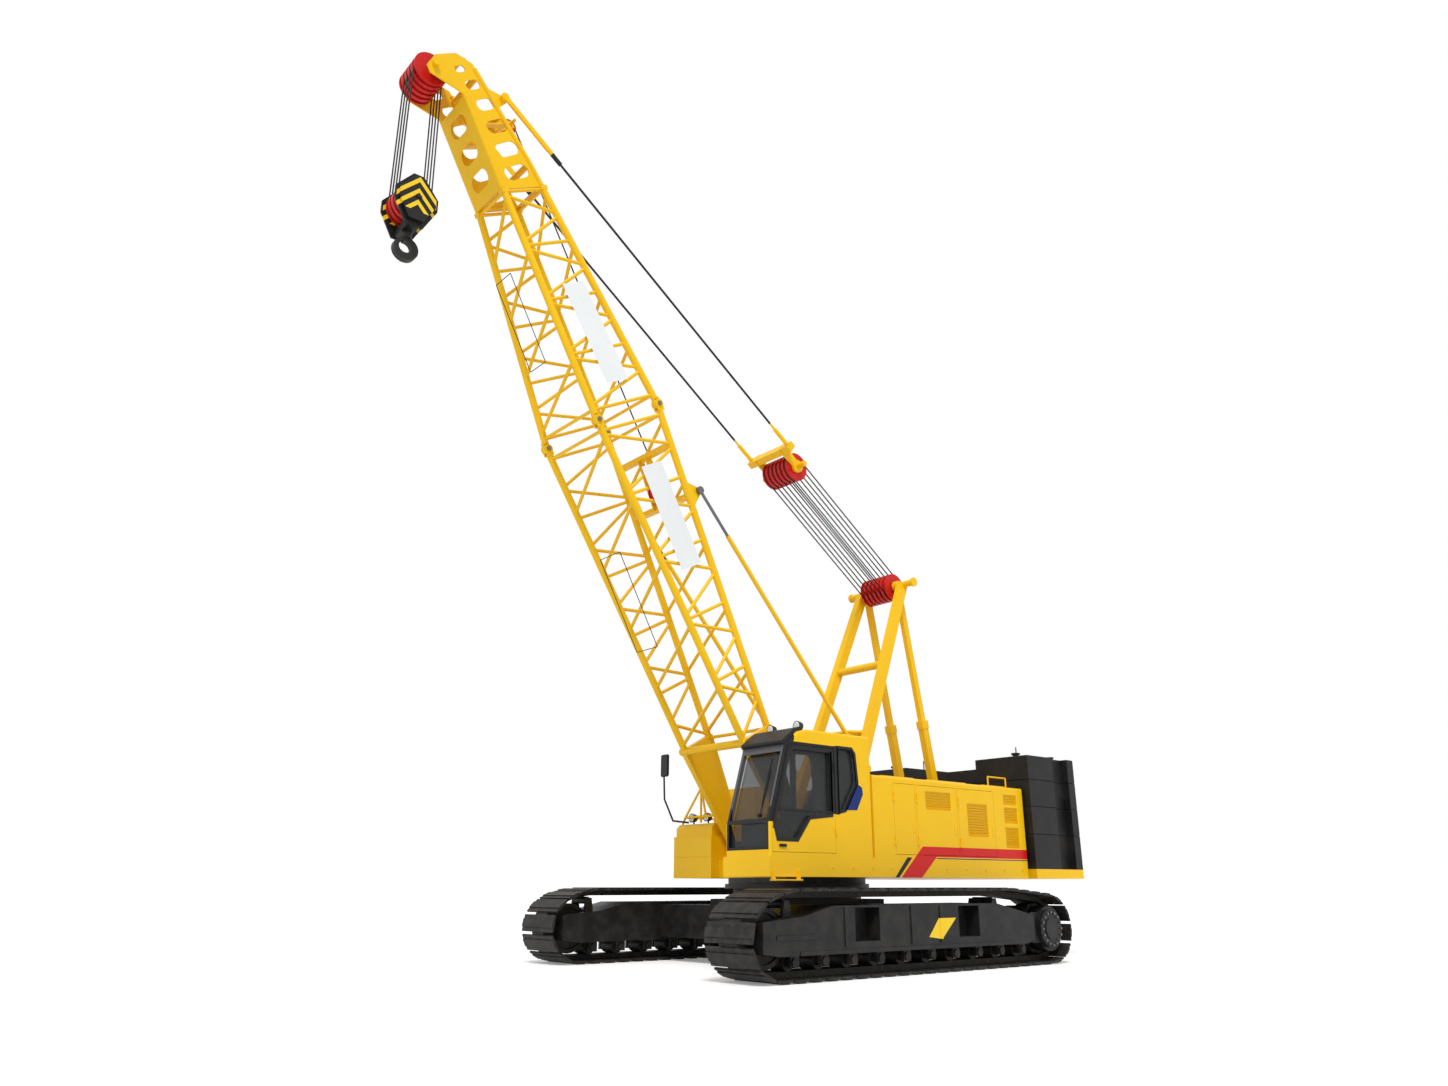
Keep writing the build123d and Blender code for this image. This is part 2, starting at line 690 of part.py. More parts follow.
with BuildPart() as gantry_rear:
    for side in (1, -1):
        with BuildSketch(across(side * 345)):
            with Locations((apex_x, apex_z)):
                Circle(90)
                Circle(55 + FIT, mode=Mode.SUBTRACT)
        extrude(amount=40, both=True)
        top = Vector(apex_x - 15, side * 345, apex_z - 80)
        foot = Vector(-3000, side * 345, 1560)
        add(beam(foot, top, 80, 100))
        add(beam(foot, foot + (top - foot) * 0.48, 110, 130))
        add(beam(foot + (top - foot) * 0.46, foot + (top - foot) * 0.49, 130, 150))
        with Locations((-3000, side * 345, (deck_top + 1640) / 2)):
            Box(220, 130, 1640 - deck_top)
keep(gantry_rear, "gantry_rear")

# ---------------------------------------------------------------- lattice boom
def chord_at(s):
    """Half width, back and belly offsets of the chord centre lines at station s."""
    if s <= 6500:
        half = 250 + (s - foot_end) * 310 / (6500 - foot_end)
        return boom_half, half, -half
    share = (s - 6500) / (tip_end - 6500)
    return boom_half + (head_half - boom_half) * share, 560 - 260 * share, -560 + 200 * share


def corner(s, side, back):
    half, rear, belly = chord_at(s)
    return on_boom(s, rear if back else belly, side * half)


def lattice(start, end, bays):
    """Lacing of one section: on the sides a strut and a V per bay, on belly and back one diagonal."""
    step = (end - start) / bays
    bars = []
    for i in range(bays):
        low, mid, high = start + i * step, start + (i + 0.5) * step, start + (i + 1) * step
        for side in (1, -1):
            bars.append((corner(high, side, True), corner(high, side, False)))
            bars.append((corner(low + 60, side, side < 0), corner(mid - 30, side, side > 0)))
            bars.append((corner(mid + 30, side, side > 0), corner(high - 60, side, side < 0)))
        for back in (True, False):
            bars.append((corner(low + 90, -1, back), corner(high - 90, 1, back)))
    for s in (start, end):
        for side in (1, -1):
            bars.append((corner(s, side, True), corner(s, side, False)))
        for back in (True, False):
            bars.append((corner(s, 1, back), corner(s, -1, back)))
    return [bar(p, q, lacing_radius) for p, q in bars]


four = [(side, back) for side in (1, -1) for back in (True, False)]
joint_s = 6500                 # pins between the two boom sections
guide_s, guide_t = 5350, 500   # guide sheave of the base section
with BuildPart() as boom_base:
    for side, back in four:
        add(bar(corner(foot_end, side, back), corner(joint_s - 85, side, back), chord_radius))
    add(lattice(foot_end, 6350, 5))
    for side, back in four:
        ear_t = chord_at(joint_s)[1 if back else 2]
        for y in (side * boom_half - 36, side * boom_half + 36):
            with BuildSketch(boom_view(y)):
                with Locations((joint_s - 50, ear_t)):
                    Rectangle(100, 110)
                with Locations((joint_s, ear_t)):
                    Circle(70)
                    Circle(28 + FIT, mode=Mode.SUBTRACT)
            extrude(amount=14, both=True)
    for side in (1, -1):
        with BuildSketch(boom_view(side * boom_half)):
            Polygon((0, 100), (foot_end + 40, 300), (foot_end + 40, -300), (0, -100), align=None)
            Circle(110)
            Circle(pin_r + FIT, mode=Mode.SUBTRACT)
        extrude(amount=leg_half, both=True)
        with BuildSketch(boom_view(side * (boom_half + 35))):
            Polygon((4950, 440), (5350, 460), (5210, backstop_t), (5090, backstop_t), align=None)
            with Locations((backstop_s, backstop_t)):
                Circle(60)
        extrude(amount=14, both=True)
        with BuildSketch(boom_view(side * (boom_half + 40))):
            with Locations((backstop_s, backstop_t)):
                Circle(28)
        extrude(amount=side * -23)
    foot_tie = chord_at(foot_end)[2]
    add(bar(on_boom(foot_end, foot_tie, -boom_half - 85), on_boom(foot_end, foot_tie, boom_half + 85), 55))
    for s in (5130, 5900):
        t = chord_at(s)[1]
        add(beam(on_boom(s, t, -boom_half), on_boom(s, t, boom_half), 70, 90, side=(0, 0, 1)))
    for y in (-90, 90):
        with BuildSketch(boom_view(y)):
            Polygon((5130, 400), (5900, 460), (5900, 560), (5480, 600), (5250, 580), (5130, 520), align=None)
        extrude(amount=8, both=True)
    with BuildSketch(boom_side):
        with Locations((guide_s, guide_t)):
            Circle(25)
    extrude(amount=86, both=True)
keep(boom_base, "boom_base")

with BuildPart() as boom_tip:
    for side, back in four:
        add(bar(corner(joint_s + 85, side, back), corner(tip_end - 6, side, back), chord_radius))
    add(lattice(6650, tip_end - 40, 4))
    for side, back in four:
        ear_t = chord_at(joint_s)[1 if back else 2]
        with BuildSketch(boom_view(side * boom_half)):
            with Locations((joint_s + 50, ear_t)):
                Rectangle(100, 110)
            with Locations((joint_s, ear_t)):
                Circle(66)
        extrude(amount=22 - FIT, both=True)
        half, rear, belly = chord_at(tip_end)
        with BuildSketch(boom_view(side * half)):
            with Locations((tip_end - FIT - 30, rear if back else belly)):
                Rectangle(60, 110)
        extrude(amount=55, both=True)
        with BuildSketch(boom_view(side * boom_half)):
            with Locations((joint_s, ear_t)):
                Circle(28)
        extrude(amount=60, both=True)
keep(boom_tip, "boom_tip")

# lightening holes in the head's side plates: station, offset, length, width
head_holes = ((10180, -30, 420, 200), (10520, -40, 390, 200), (10860, -60, 350, 190), (11180, -110, 290, 170),
              (11470, -190, 240, 140), (11700, -300, 170, 100))
roller_s, roller_t = 11040, 430    # deflector sheave on the back of the head
with BuildPart() as boom_head:
    for side in (1, -1):
        with BuildSketch(boom_view(side * head_half)):
            Polygon((tip_end, -410), (tip_end, 350), (10300, 290), (11780, -60), (11930, -260), (11900, -600),
                    (11755, -790), (11640, -790), (11350, -410), align=None)
            with Locations((pendant_s, pendant_t)):
                Circle(60)
            Polygon((11100, 40), (11450, -20), (11310, pendant_t), (11190, pendant_t), align=None)
            for s, t, length, width in head_holes:
                with Locations((s, t)):
                    SlotOverall(length, width, rotation=80, mode=Mode.SUBTRACT)
        extrude(amount=head_plate / 2, both=True)
        boss_end = side * (pendant_y - link_half - FIT)
        add(bar(on_boom(pendant_s, pendant_t, side * head_half), on_boom(pendant_s, pendant_t, boss_end), 60))
    for s0, s1, t0, t1 in ((tip_end, 11300, -410, -398), (tip_end, tip_end + 12, -410, 350),
                           (10900, 10912, -400, 160), (11860, 11872, -400, -130)):
        with BuildSketch(boom_side):
            with Locations(((s0 + s1) / 2, (t0 + t1) / 2)):
                Rectangle(s1 - s0, t1 - t0)
        extrude(amount=head_half, both=True)
    with BuildSketch(Plane(origin=on_boom(0, -395), x_dir=boom_side.x_dir,
                           z_dir=on_boom(0, 1) - on_boom(0, 0))):
        with Locations((10250, 0), (10650, 0), (11050, 0)):
            SlotOverall(420, 240, rotation=90, mode=Mode.ADD)
    extrude(amount=30, both=True, mode=Mode.SUBTRACT)
    with BuildSketch(boom_side):
        with Locations((tip_end + 6, -30)):
            Rectangle(60, 560)
    extrude(amount=head_half - 90, both=True, mode=Mode.SUBTRACT)
    with BuildSketch(boom_side):
        with Locations((10906, -120)):
            Rectangle(60, 420)
    extrude(amount=head_half - 120, both=True, mode=Mode.SUBTRACT)
    for side in (1, -1):
        y = side * head_half
        add(bar(on_boom(tip_end + 14, 300, y), on_boom(10300, 250, y), 38))
        add(bar(on_boom(10300, 250, y), on_boom(11700, -60, y), 38))
        add(bar(on_boom(tip_end + 14, -372, y), on_boom(11330, -372, y), 38))
    for s, t in ((10300, 250), (11040, 80), (11600, -60)):
        add(bar(on_boom(s, t, -head_half), on_boom(s, t, head_half), 45))
    for y in (-62, 62):
        with BuildSketch(boom_view(y)):
            Polygon((10920, 60), (11160, 60), (11090, roller_t + 50), (10990, roller_t + 50), align=None)
        extrude(amount=8, both=True)
    with BuildSketch(boom_side):
        with Locations((roller_s, roller_t)):
            Circle(22)
    extrude(amount=200, both=True)
    with BuildSketch(boom_side):
        with Locations((head_shaft_s, head_shaft_t)):
            Circle(45)
    extrude(amount=head_half + 70, both=True)
keep(boom_head, "boom_head")


def sheave_pack(place, radius, width, bore, grooves):
    """Row of grooved sheaves on one shaft, as one body with a plain bore."""
    pitch = width / grooves
    with BuildPart() as pack:
        with BuildSketch(place):
            Circle(radius)
            Circle(bore, mode=Mode.SUBTRACT)
        extrude(amount=width / 2, both=True)
        for i in range(grooves):
            with BuildSketch(Plane(place.location * Location((0, 0, -width / 2 + (i + 0.5) * pitch)))):
                Circle(radius + 5)
                Circle(radius - 28, mode=Mode.SUBTRACT)
            extrude(amount=pitch / 4, both=True, mode=Mode.SUBTRACT)
    return pack.part


def shaft_plane(centre):
    return Plane(origin=centre, x_dir=(1, 0, 0), z_dir=(0, -1, 0))


with BuildPart() as guide_sheaves:
    add(sheave_pack(Plane(origin=on_boom(guide_s, guide_t), x_dir=(1, 0, 0), z_dir=(0, -1, 0)),
                    135, 70, 25 + FIT, 1))
    add(sheave_pack(Plane(origin=on_boom(roller_s, roller_t), x_dir=(1, 0, 0), z_dir=(0, -1, 0)),
                    110, 64, 22 + FIT, 1))
keep(guide_sheaves, "guide_sheaves")

head_shaft = on_boom(head_shaft_s, head_shaft_t)
with BuildPart() as head_sheaves:
    add(sheave_pack(shaft_plane(head_shaft), sheave_radius, 500, 45 + FIT, 5))
keep(head_sheaves, "head_sheaves")

# ---------------------------------------------------------------- hook block and hook
block_x = head_shaft.X
block_shaft = Vector(block_x, 0, block_z)
with BuildPart() as block_sheaves:
    add(sheave_pack(shaft_plane(block_shaft), sheave_radius, 400, 45 + FIT, 4))
keep(block_sheaves, "block_sheaves")
cheek = ((-70, 330), (70, 330), (290, 60), (290, -110), (120, -430), (-120, -430), (-290, -110), (-290, 60))
with BuildPart() as hook_block:
    for y, grow, half in ((-218, 1.0, 14), (218, 1.0, 14), (-256, 0.84, 28), (256, 0.84, 28)):
        with BuildSketch(shaft_plane((block_x, y, block_z))):
            Polygon(*[(x * grow, z * grow) for x, z in cheek], align=None)
        extrude(amount=half, both=True)
    with BuildSketch(shaft_plane(block_shaft)):
        Circle(45)
    extrude(amount=300, both=True)
    with Locations((block_x, 0, block_z - 350)):
        Box(160, 430, 130)
    with BuildSketch(Plane.XY.offset(block_z - 430)):
        with Locations((block_x, 0)):
            Circle(50 + FIT)
    extrude(amount=160, mode=Mode.SUBTRACT)
keep(hook_block, "hook_block")

with BuildPart() as hook:
    with BuildSketch(Plane.XY.offset(block_z - 520)):
        with Locations((block_x, 0)):
            Circle(50)
    extrude(amount=250)
    with BuildSketch(Plane.XY.offset(block_z - 520)):
        with Locations((block_x, 0)):
            Circle(70)
    extrude(amount=70)
    # crescent bowl with its mouth to the front, closed by a thin latch
    with BuildSketch(shaft_plane((block_x, 0, block_z - 640))):
        with Locations((0, -30)):
            Circle(165)
        Polygon((-75, 50), (-50, 140), (50, 140), (75, 50), align=None)
        with Locations((14, -12)):
            Circle(84, mode=Mode.SUBTRACT)
        with Locations((82, 78)):
            Rectangle(150, 58, rotation=48, mode=Mode.SUBTRACT)
    extrude(amount=45, both=True)
    with BuildSketch(shaft_plane((block_x, 0, block_z - 640))):
        with Locations((66, 64)):
            Rectangle(96, 10, rotation=-43)
    extrude(amount=14, both=True)
    with Locations((block_x, 0, block_z - 530)):
        Box(90, 90, 60)
keep(hook, "hook")

# ---------------------------------------------------------------- suspension line
apex = Vector(apex_x, 0, apex_z)
head_eye = on_boom(pendant_s, pendant_t)
line = (head_eye - apex).normalized()
line_length = (head_eye - apex).length
bridle_shaft = apex + line * bridle_run

with BuildPart() as gantry_sheaves:
    add(sheave_pack(shaft_plane(apex), 230, 560, 55 + FIT, 6))
keep(gantry_sheaves, "gantry_sheaves")
with BuildPart() as bridle_sheaves:
    add(sheave_pack(shaft_plane(bridle_shaft), 230, 560, 45 + FIT, 6))
keep(bridle_sheaves, "bridle_sheaves")


def beside_line(y):
    """Plane of the suspension line at y."""
    return Plane(origin=(apex_x, y, apex_z), x_dir=line, z_dir=(0, -1, 0))


with BuildPart() as bridle:
    for y in (-300, 300):
        with BuildSketch(beside_line(y)):
            Polygon((bridle_run - 80, -70), (bridle_run - 80, 70),
                    (bridle_run + 420, 90), (bridle_run + 420, -90), align=None)
        extrude(amount=12, both=True)
    with BuildSketch(beside_line(0)):
        with Locations((bridle_run, 0)):
            Circle(45)
    extrude(amount=480, both=True)
    with BuildSketch(beside_line(0)):
        with Locations((bridle_run + 360, 0)):
            Rectangle(110, 150)
    extrude(amount=pendant_y + 50, both=True)
    for y in (-300, 300):
        with BuildSketch(beside_line(y)):
            with Locations((bridle_run, 0)):
                Circle(105)
        extrude(amount=20, both=True)
keep(bridle, "bridle")

with BuildPart() as pendants:
    for y in (-pendant_y, pendant_y):
        with BuildSketch(beside_line(y)):
            with Locations((line_length, 0)):
                Circle(60)
            with Locations((line_length - 450, 0)):
                Rectangle(900, 70)
        extrude(amount=link_half, both=True)
        start = Vector(apex + line * (bridle_run + 420 + FIT)) + Vector(0, y, 0)
        end = Vector(apex + line * (line_length - 890)) + Vector(0, y, 0)
        add(bar(start, end, 17))
        add(bar(start, start + line * 320, socket_radius))
        add(bar(end - line * 260, end, socket_radius))
keep(pendants, "pendants")

with BuildPart() as luff_ropes:
    for i in range(6):
        y = -560 / 2 + (i + 0.5) * 560 / 6
        for up in (-1, 1):
            offset_up = Vector(-line.Z, 0, line.X) * up * 212.3
            add(bar(apex + offset_up + Vector(0, y, 0), bridle_shaft + offset_up + Vector(0, y, 0), 10))
keep(luff_ropes, "luff_ropes")

with BuildPart() as hoist_ropes:
    for i in range(4):
        y = -150 + i * 100
        for x, shift in ((-222.3, -50), (222.3, 50)):
            add(bar(Vector(block_x + x, y, block_z), Vector(block_x + x, y + shift, head_shaft.Z), 10))
keep(hoist_ropes, "hoist_ropes")

# ---------------------------------------------------------------- backstops
stop_foot = Vector(backstop_foot_x, 0, backstop_foot_z)
stop_head = on_boom(backstop_s, backstop_t)
stop = (stop_head - stop_foot).normalized()
tube_end = 4100
with BuildPart() as backstop_tubes:
    for y in (-backstop_y, backstop_y):
        base = stop_foot + Vector(0, y, 0)
        add(bar(base, base + stop * tube_end, 32))
        with BuildSketch(shaft_plane(base)):
            Circle(60)
        extrude(amount=32, both=True)
        with BuildSketch(shaft_plane(base)):
            Circle(28 + FIT)
        extrude(amount=40, both=True, mode=Mode.SUBTRACT)
        add(bar(base + stop * 150, base + stop * (tube_end + 10), 23), mode=Mode.SUBTRACT)
keep(backstop_tubes, "backstop_tubes")
with BuildPart() as backstop_rods:
    for y in (-backstop_y, backstop_y):
        end = stop_head + Vector(0, y, 0)
        add(bar(end - stop * 2200, end - stop * 40, 22))
        with BuildSketch(shaft_plane(end)):
            Circle(56)
        extrude(amount=22, both=True)
keep(backstop_rods, "backstop_rods")
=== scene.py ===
import json
from math import cos, pi, radians, sin, sqrt

import bmesh
import bpy
from mathutils import Matrix, Vector


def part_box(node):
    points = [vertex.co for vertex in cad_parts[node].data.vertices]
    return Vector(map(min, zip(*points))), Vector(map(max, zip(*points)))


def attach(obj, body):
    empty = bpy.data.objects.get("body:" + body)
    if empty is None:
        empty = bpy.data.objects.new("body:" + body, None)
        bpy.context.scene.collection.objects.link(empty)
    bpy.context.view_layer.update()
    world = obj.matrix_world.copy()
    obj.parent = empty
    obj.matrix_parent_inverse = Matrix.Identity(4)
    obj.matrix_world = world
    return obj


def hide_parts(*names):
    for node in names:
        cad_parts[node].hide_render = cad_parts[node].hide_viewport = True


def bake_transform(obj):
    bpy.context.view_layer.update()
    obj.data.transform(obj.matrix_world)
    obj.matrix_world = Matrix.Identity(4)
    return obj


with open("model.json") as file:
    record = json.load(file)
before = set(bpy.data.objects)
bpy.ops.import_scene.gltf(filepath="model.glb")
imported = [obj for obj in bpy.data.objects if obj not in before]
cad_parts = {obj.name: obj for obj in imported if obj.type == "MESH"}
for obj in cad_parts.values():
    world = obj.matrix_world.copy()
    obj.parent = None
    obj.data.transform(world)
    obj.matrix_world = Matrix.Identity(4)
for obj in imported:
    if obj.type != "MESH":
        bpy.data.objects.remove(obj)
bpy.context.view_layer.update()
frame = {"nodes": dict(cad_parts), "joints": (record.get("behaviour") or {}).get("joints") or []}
nodes = frame["nodes"]
joints = {joint["name"]: joint for joint in frame["joints"]}

# ---------------------------------------------------------------- studio
# The crane stands on a pale studio floor that runs off to white.
# A wide soft sky lights it from all round and one soft sun from the front left.
scene = bpy.context.scene
scene.view_settings.view_transform = "Standard"
yaw, pitch = radians(-129.83), radians(18.06)
view_line = Vector((cos(pitch) * cos(yaw), cos(pitch) * sin(yaw), sin(pitch)))
camera_data = bpy.data.cameras.new("studio_camera")
camera_data.sensor_width = 36.0
camera_data.lens = 26.18
camera_data.clip_end = 400.0
camera = bpy.data.objects.new("studio_camera", camera_data)
camera.location = (11.08, 11.64, 1.03)
camera.rotation_euler = view_line.to_track_quat("-Z", "Y").to_euler()
scene.collection.objects.link(camera)
scene.camera = camera


def seen_or_mirrored(tree):
    """1 on camera, glossy and transmission rays, so that metal and glass show the background too."""
    rays = tree.nodes.new("ShaderNodeLightPath").outputs
    mirrored = tree.nodes.new("ShaderNodeMath")
    mirrored.operation = "MAXIMUM"
    tree.links.new(rays["Is Glossy Ray"], mirrored.inputs[0])
    tree.links.new(rays["Is Transmission Ray"], mirrored.inputs[1])
    shown = tree.nodes.new("ShaderNodeMath")
    shown.operation = "MAXIMUM"
    tree.links.new(rays["Is Camera Ray"], shown.inputs[0])
    tree.links.new(mirrored.outputs[0], shown.inputs[1])
    return shown.outputs[0]


world = bpy.data.worlds.new("studio_sky")
scene.world = world
world.use_nodes = True
sky = world.node_tree
sky.nodes.clear()
sky_out = sky.nodes.new("ShaderNodeOutputWorld")
seen = sky.nodes.new("ShaderNodeBackground")
seen.inputs["Color"].default_value = (1.0, 1.0, 1.0, 1.0)
seen.inputs["Strength"].default_value = 1.0
lit = sky.nodes.new("ShaderNodeBackground")
lit.inputs["Color"].default_value = (0.93, 0.96, 1.0, 1.0)
lit.inputs["Strength"].default_value = 0.62
pick = sky.nodes.new("ShaderNodeMixShader")
sky.links.new(seen_or_mirrored(sky), pick.inputs[0])
sky.links.new(lit.outputs[0], pick.inputs[1])
sky.links.new(seen.outputs[0], pick.inputs[2])
sky.links.new(pick.outputs[0], sky_out.inputs["Surface"])

sun_data = bpy.data.lights.new("studio_sun", "SUN")
sun_data.energy = 2.1
sun_data.angle = radians(18)
sun_line = Vector((-0.45, -0.55, -0.95))
sun = bpy.data.objects.new("studio_sun", sun_data)
sun.rotation_euler = sun_line.to_track_quat("-Z", "Y").to_euler()
scene.collection.objects.link(sun)

floor_mesh = bpy.data.meshes.new("studio_floor")
floor_half, floor_level = 150.0, -0.002
floor_corners = [(x * floor_half, y * floor_half, floor_level)
                 for x, y in ((-1, -1), (1, -1), (1, 1), (-1, 1))]
floor_mesh.from_pydata(floor_corners, [], [(0, 1, 2, 3)])
studio_floor = bpy.data.objects.new("studio_floor", floor_mesh)
scene.collection.objects.link(studio_floor)
floor_paint = bpy.data.materials.new("studio_floor_paint")
floor_paint.use_nodes = True
floor_tree = floor_paint.node_tree
floor_tree.nodes.clear()
floor_out = floor_tree.nodes.new("ShaderNodeOutputMaterial")
matt = floor_tree.nodes.new("ShaderNodeBsdfDiffuse")
matt.inputs["Color"].default_value = (0.86, 0.86, 0.86, 1.0)
glow = floor_tree.nodes.new("ShaderNodeEmission")
glow.inputs["Strength"].default_value = 0.22
both = floor_tree.nodes.new("ShaderNodeAddShader")
floor_pick = floor_tree.nodes.new("ShaderNodeMixShader")
floor_tree.links.new(matt.outputs[0], both.inputs[0])
floor_tree.links.new(glow.outputs[0], both.inputs[1])
floor_tree.links.new(seen_or_mirrored(floor_tree), floor_pick.inputs[0])
floor_tree.links.new(matt.outputs[0], floor_pick.inputs[1])
floor_tree.links.new(both.outputs[0], floor_pick.inputs[2])
floor_tree.links.new(floor_pick.outputs[0], floor_out.inputs["Surface"])
studio_floor.data.materials.append(floor_paint)


# ---------------------------------------------------------------- crawlers
# Cast steel shoes pinned into two loops, worn bright on the treads and grey with dust,
# run round black painted box frames on forged rollers, idlers and sprockets.
def step(tree, plane, place):
    """1 where a*x + b*y + c*z + d is above 0, from the object's own coordinates."""
    a, b, c, d = plane
    dot = tree.nodes.new("ShaderNodeVectorMath")
    dot.operation = "DOT_PRODUCT"
    dot.inputs[1].default_value = (a, b, c)
    tree.links.new(place, dot.inputs[0])
    above = tree.nodes.new("ShaderNodeMath")
    above.operation = "GREATER_THAN"
    above.inputs[1].default_value = -d
    tree.links.new(dot.outputs["Value"], above.inputs[0])
    return above.outputs[0]


def patch_mask(tree, planes, place):
    """1 inside the convex patch that the half spaces bound."""
    mask = step(tree, planes[0], place)
    for plane in planes[1:]:
        both_in = tree.nodes.new("ShaderNodeMath")
        both_in.operation = "MULTIPLY"
        tree.links.new(mask, both_in.inputs[0])
        tree.links.new(step(tree, plane, place), both_in.inputs[1])
        mask = both_in.outputs[0]
    return mask


def prism(outline, grow=0.0):
    """Half spaces of a convex outline drawn counter-clockwise in the side view, moved out by grow."""
    planes = []
    for (x0, z0), (x1, z1) in zip(outline, outline[1:] + outline[:1]):
        long = sqrt((x1 - x0) ** 2 + (z1 - z0) ** 2)
        a, c = -(z1 - z0) / long, (x1 - x0) / long
        planes.append((a, 0, c, grow - a * x0 - c * z0))
    return planes


dust_colour = (0.26, 0.22, 0.17, 1.0)
gloss_spread = 0.12


def finish_of(name, colour, roughness=0.45, metallic=0.0, tint=0.10, dust=0.0, grain=18.0, bump=0.0006,
              patches=(), coat=0.0):
    """Painted or bare metal: broad tint drift, fine speckle, dust in spots that follow the fine noise, flat
    colour patches.
    """
    made = bpy.data.materials.new(name)
    made.use_nodes = True
    tree = made.node_tree
    shader = tree.nodes["Principled BSDF"]
    shader.inputs["Metallic"].default_value = metallic
    shader.inputs["Specular IOR Level"].default_value = 0.22
    shader.inputs["Coat Weight"].default_value = coat
    shader.inputs["Coat Roughness"].default_value = 0.12
    place = tree.nodes.new("ShaderNodeTexCoord").outputs["Object"]
    broad = tree.nodes.new("ShaderNodeTexNoise")
    broad.inputs["Scale"].default_value = 1.3
    broad.inputs["Detail"].default_value = 5.0
    fine = tree.nodes.new("ShaderNodeTexNoise")
    fine.inputs["Scale"].default_value = grain
    fine.inputs["Detail"].default_value = 8.0
    tree.links.new(place, broad.inputs["Vector"])
    tree.links.new(place, fine.inputs["Vector"])
    shade = tree.nodes.new("ShaderNodeMix")
    shade.data_type = "RGBA"
    dark = [max(0.0, c * (1.0 - 1.6 * tint)) for c in colour]
    light = [min(1.0, c * (1.0 + tint)) for c in colour]
    shade.inputs[6].default_value = (*dark, 1.0)
    shade.inputs[7].default_value = (*light, 1.0)
    tree.links.new(broad.outputs["Fac"], shade.inputs[0])
    result = shade.outputs[2]
    for planes, patch_colour in patches:
        over = tree.nodes.new("ShaderNodeMix")
        over.data_type = "RGBA"
        over.inputs[7].default_value = (*patch_colour, 1.0)
        tree.links.new(patch_mask(tree, planes, place), over.inputs[0])
        tree.links.new(result, over.inputs[6])
        result = over.outputs[2]
    if dust > 0.0:
        settle = tree.nodes.new("ShaderNodeMapRange")
        settle.inputs["From Min"].default_value = 0.42
        settle.inputs["From Max"].default_value = 0.75
        settle.inputs["To Max"].default_value = dust
        tree.links.new(fine.outputs["Fac"], settle.inputs["Value"])
        dusty = tree.nodes.new("ShaderNodeMix")
        dusty.data_type = "RGBA"
        dusty.inputs[7].default_value = dust_colour
        tree.links.new(settle.outputs[0], dusty.inputs[0])
        tree.links.new(result, dusty.inputs[6])
        result = dusty.outputs[2]
    tree.links.new(result, shader.inputs["Base Color"])
    rough = tree.nodes.new("ShaderNodeMapRange")
    rough.inputs["To Min"].default_value = max(0.05, roughness - gloss_spread)
    rough.inputs["To Max"].default_value = min(1.0, roughness + gloss_spread)
    tree.links.new(fine.outputs["Fac"], rough.inputs["Value"])
    tree.links.new(rough.outputs[0], shader.inputs["Roughness"])
    relief = tree.nodes.new("ShaderNodeBump")
    relief.inputs["Distance"].default_value = bump
    relief.inputs["Strength"].default_value = 0.6
    tree.links.new(fine.outputs["Fac"], relief.inputs["Height"])
    tree.links.new(relief.outputs[0], shader.inputs["Normal"])
    return made


def dress(material, *names):
    """Give CAD nodes their finish."""
    for name in names:
        node = nodes[name]
        for slot in node.material_slots:
            slot.material = material


def new_piece(name, bm, material, body, smooth=False):
    """Turn a bmesh into a piece that rides on a body."""
    bmesh.ops.recalc_face_normals(bm, faces=bm.faces[:])
    mesh = bpy.data.meshes.new(name)
    bm.to_mesh(mesh)
    bm.free()
    if smooth:
        for polygon in mesh.polygons:
            polygon.use_smooth = True
    mesh.materials.append(material)
    piece = bpy.data.objects.new(name, mesh)
    scene.collection.objects.link(piece)
    if body:
        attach(piece, body)
    return piece


def add_block(bm, low, high, bevel=0.004):
    """Box with its edges broken."""
    size = [h - l for l, h in zip(low, high)]
    centre = [(l + h) / 2 for l, h in zip(low, high)]
    place = Matrix.Translation(centre) @ Matrix.Diagonal((*size, 1.0))
    made = bmesh.ops.create_cube(bm, size=1.0, matrix=place)
    edges = list(dict.fromkeys(edge for vertex in made["verts"] for edge in vertex.link_edges))
    if bevel > 0:
        bmesh.ops.bevel(bm, geom=edges, offset=bevel, segments=2, affect="EDGES", clamp_overlap=True)


def add_rod(bm, start, end, radius, sides=12, tip=None):
    """Round bar, or a cone where a tip radius is given."""
    run = Vector(end) - Vector(start)
    turn = run.to_track_quat("Z", "Y").to_matrix().to_4x4()
    place = Matrix.Translation((Vector(start) + Vector(end)) / 2) @ turn
    bmesh.ops.create_cone(bm, cap_ends=True, segments=sides, radius1=radius,
                          radius2=radius if tip is None else tip, depth=run.length, matrix=place)


def add_sheet(bm, outline, thickness, place):
    """Flat plate from an outline in the plane that place sets, thick along its local z."""
    low = [bm.verts.new(place @ Vector((u, v, 0.0))) for u, v in outline]
    high = [bm.verts.new(place @ Vector((u, v, thickness))) for u, v in outline]
    bm.faces.new(low[::-1])
    bm.faces.new(high)
    for i in range(len(low)):
        j = (i + 1) % len(low)
        bm.faces.new((low[i], low[j], high[j], high[i]))


def side_place(y):
    """Side view plane at y: local x is forward, local y is up, local z towards +Y."""
    return Matrix(((1, 0, 0, 0), (0, 0, 1, y), (0, 1, 0, 0), (0, 0, 0, 1)))


shoe_steel = finish_of("worn_shoe_steel", (0.022, 0.021, 0.0205), 0.55, 0.35, 0.25, 0.14, 9.0, 0.003)
frame_black = (0.011, 0.011, 0.0115)
mark_yellow = (0.90, 0.60, 0.02)
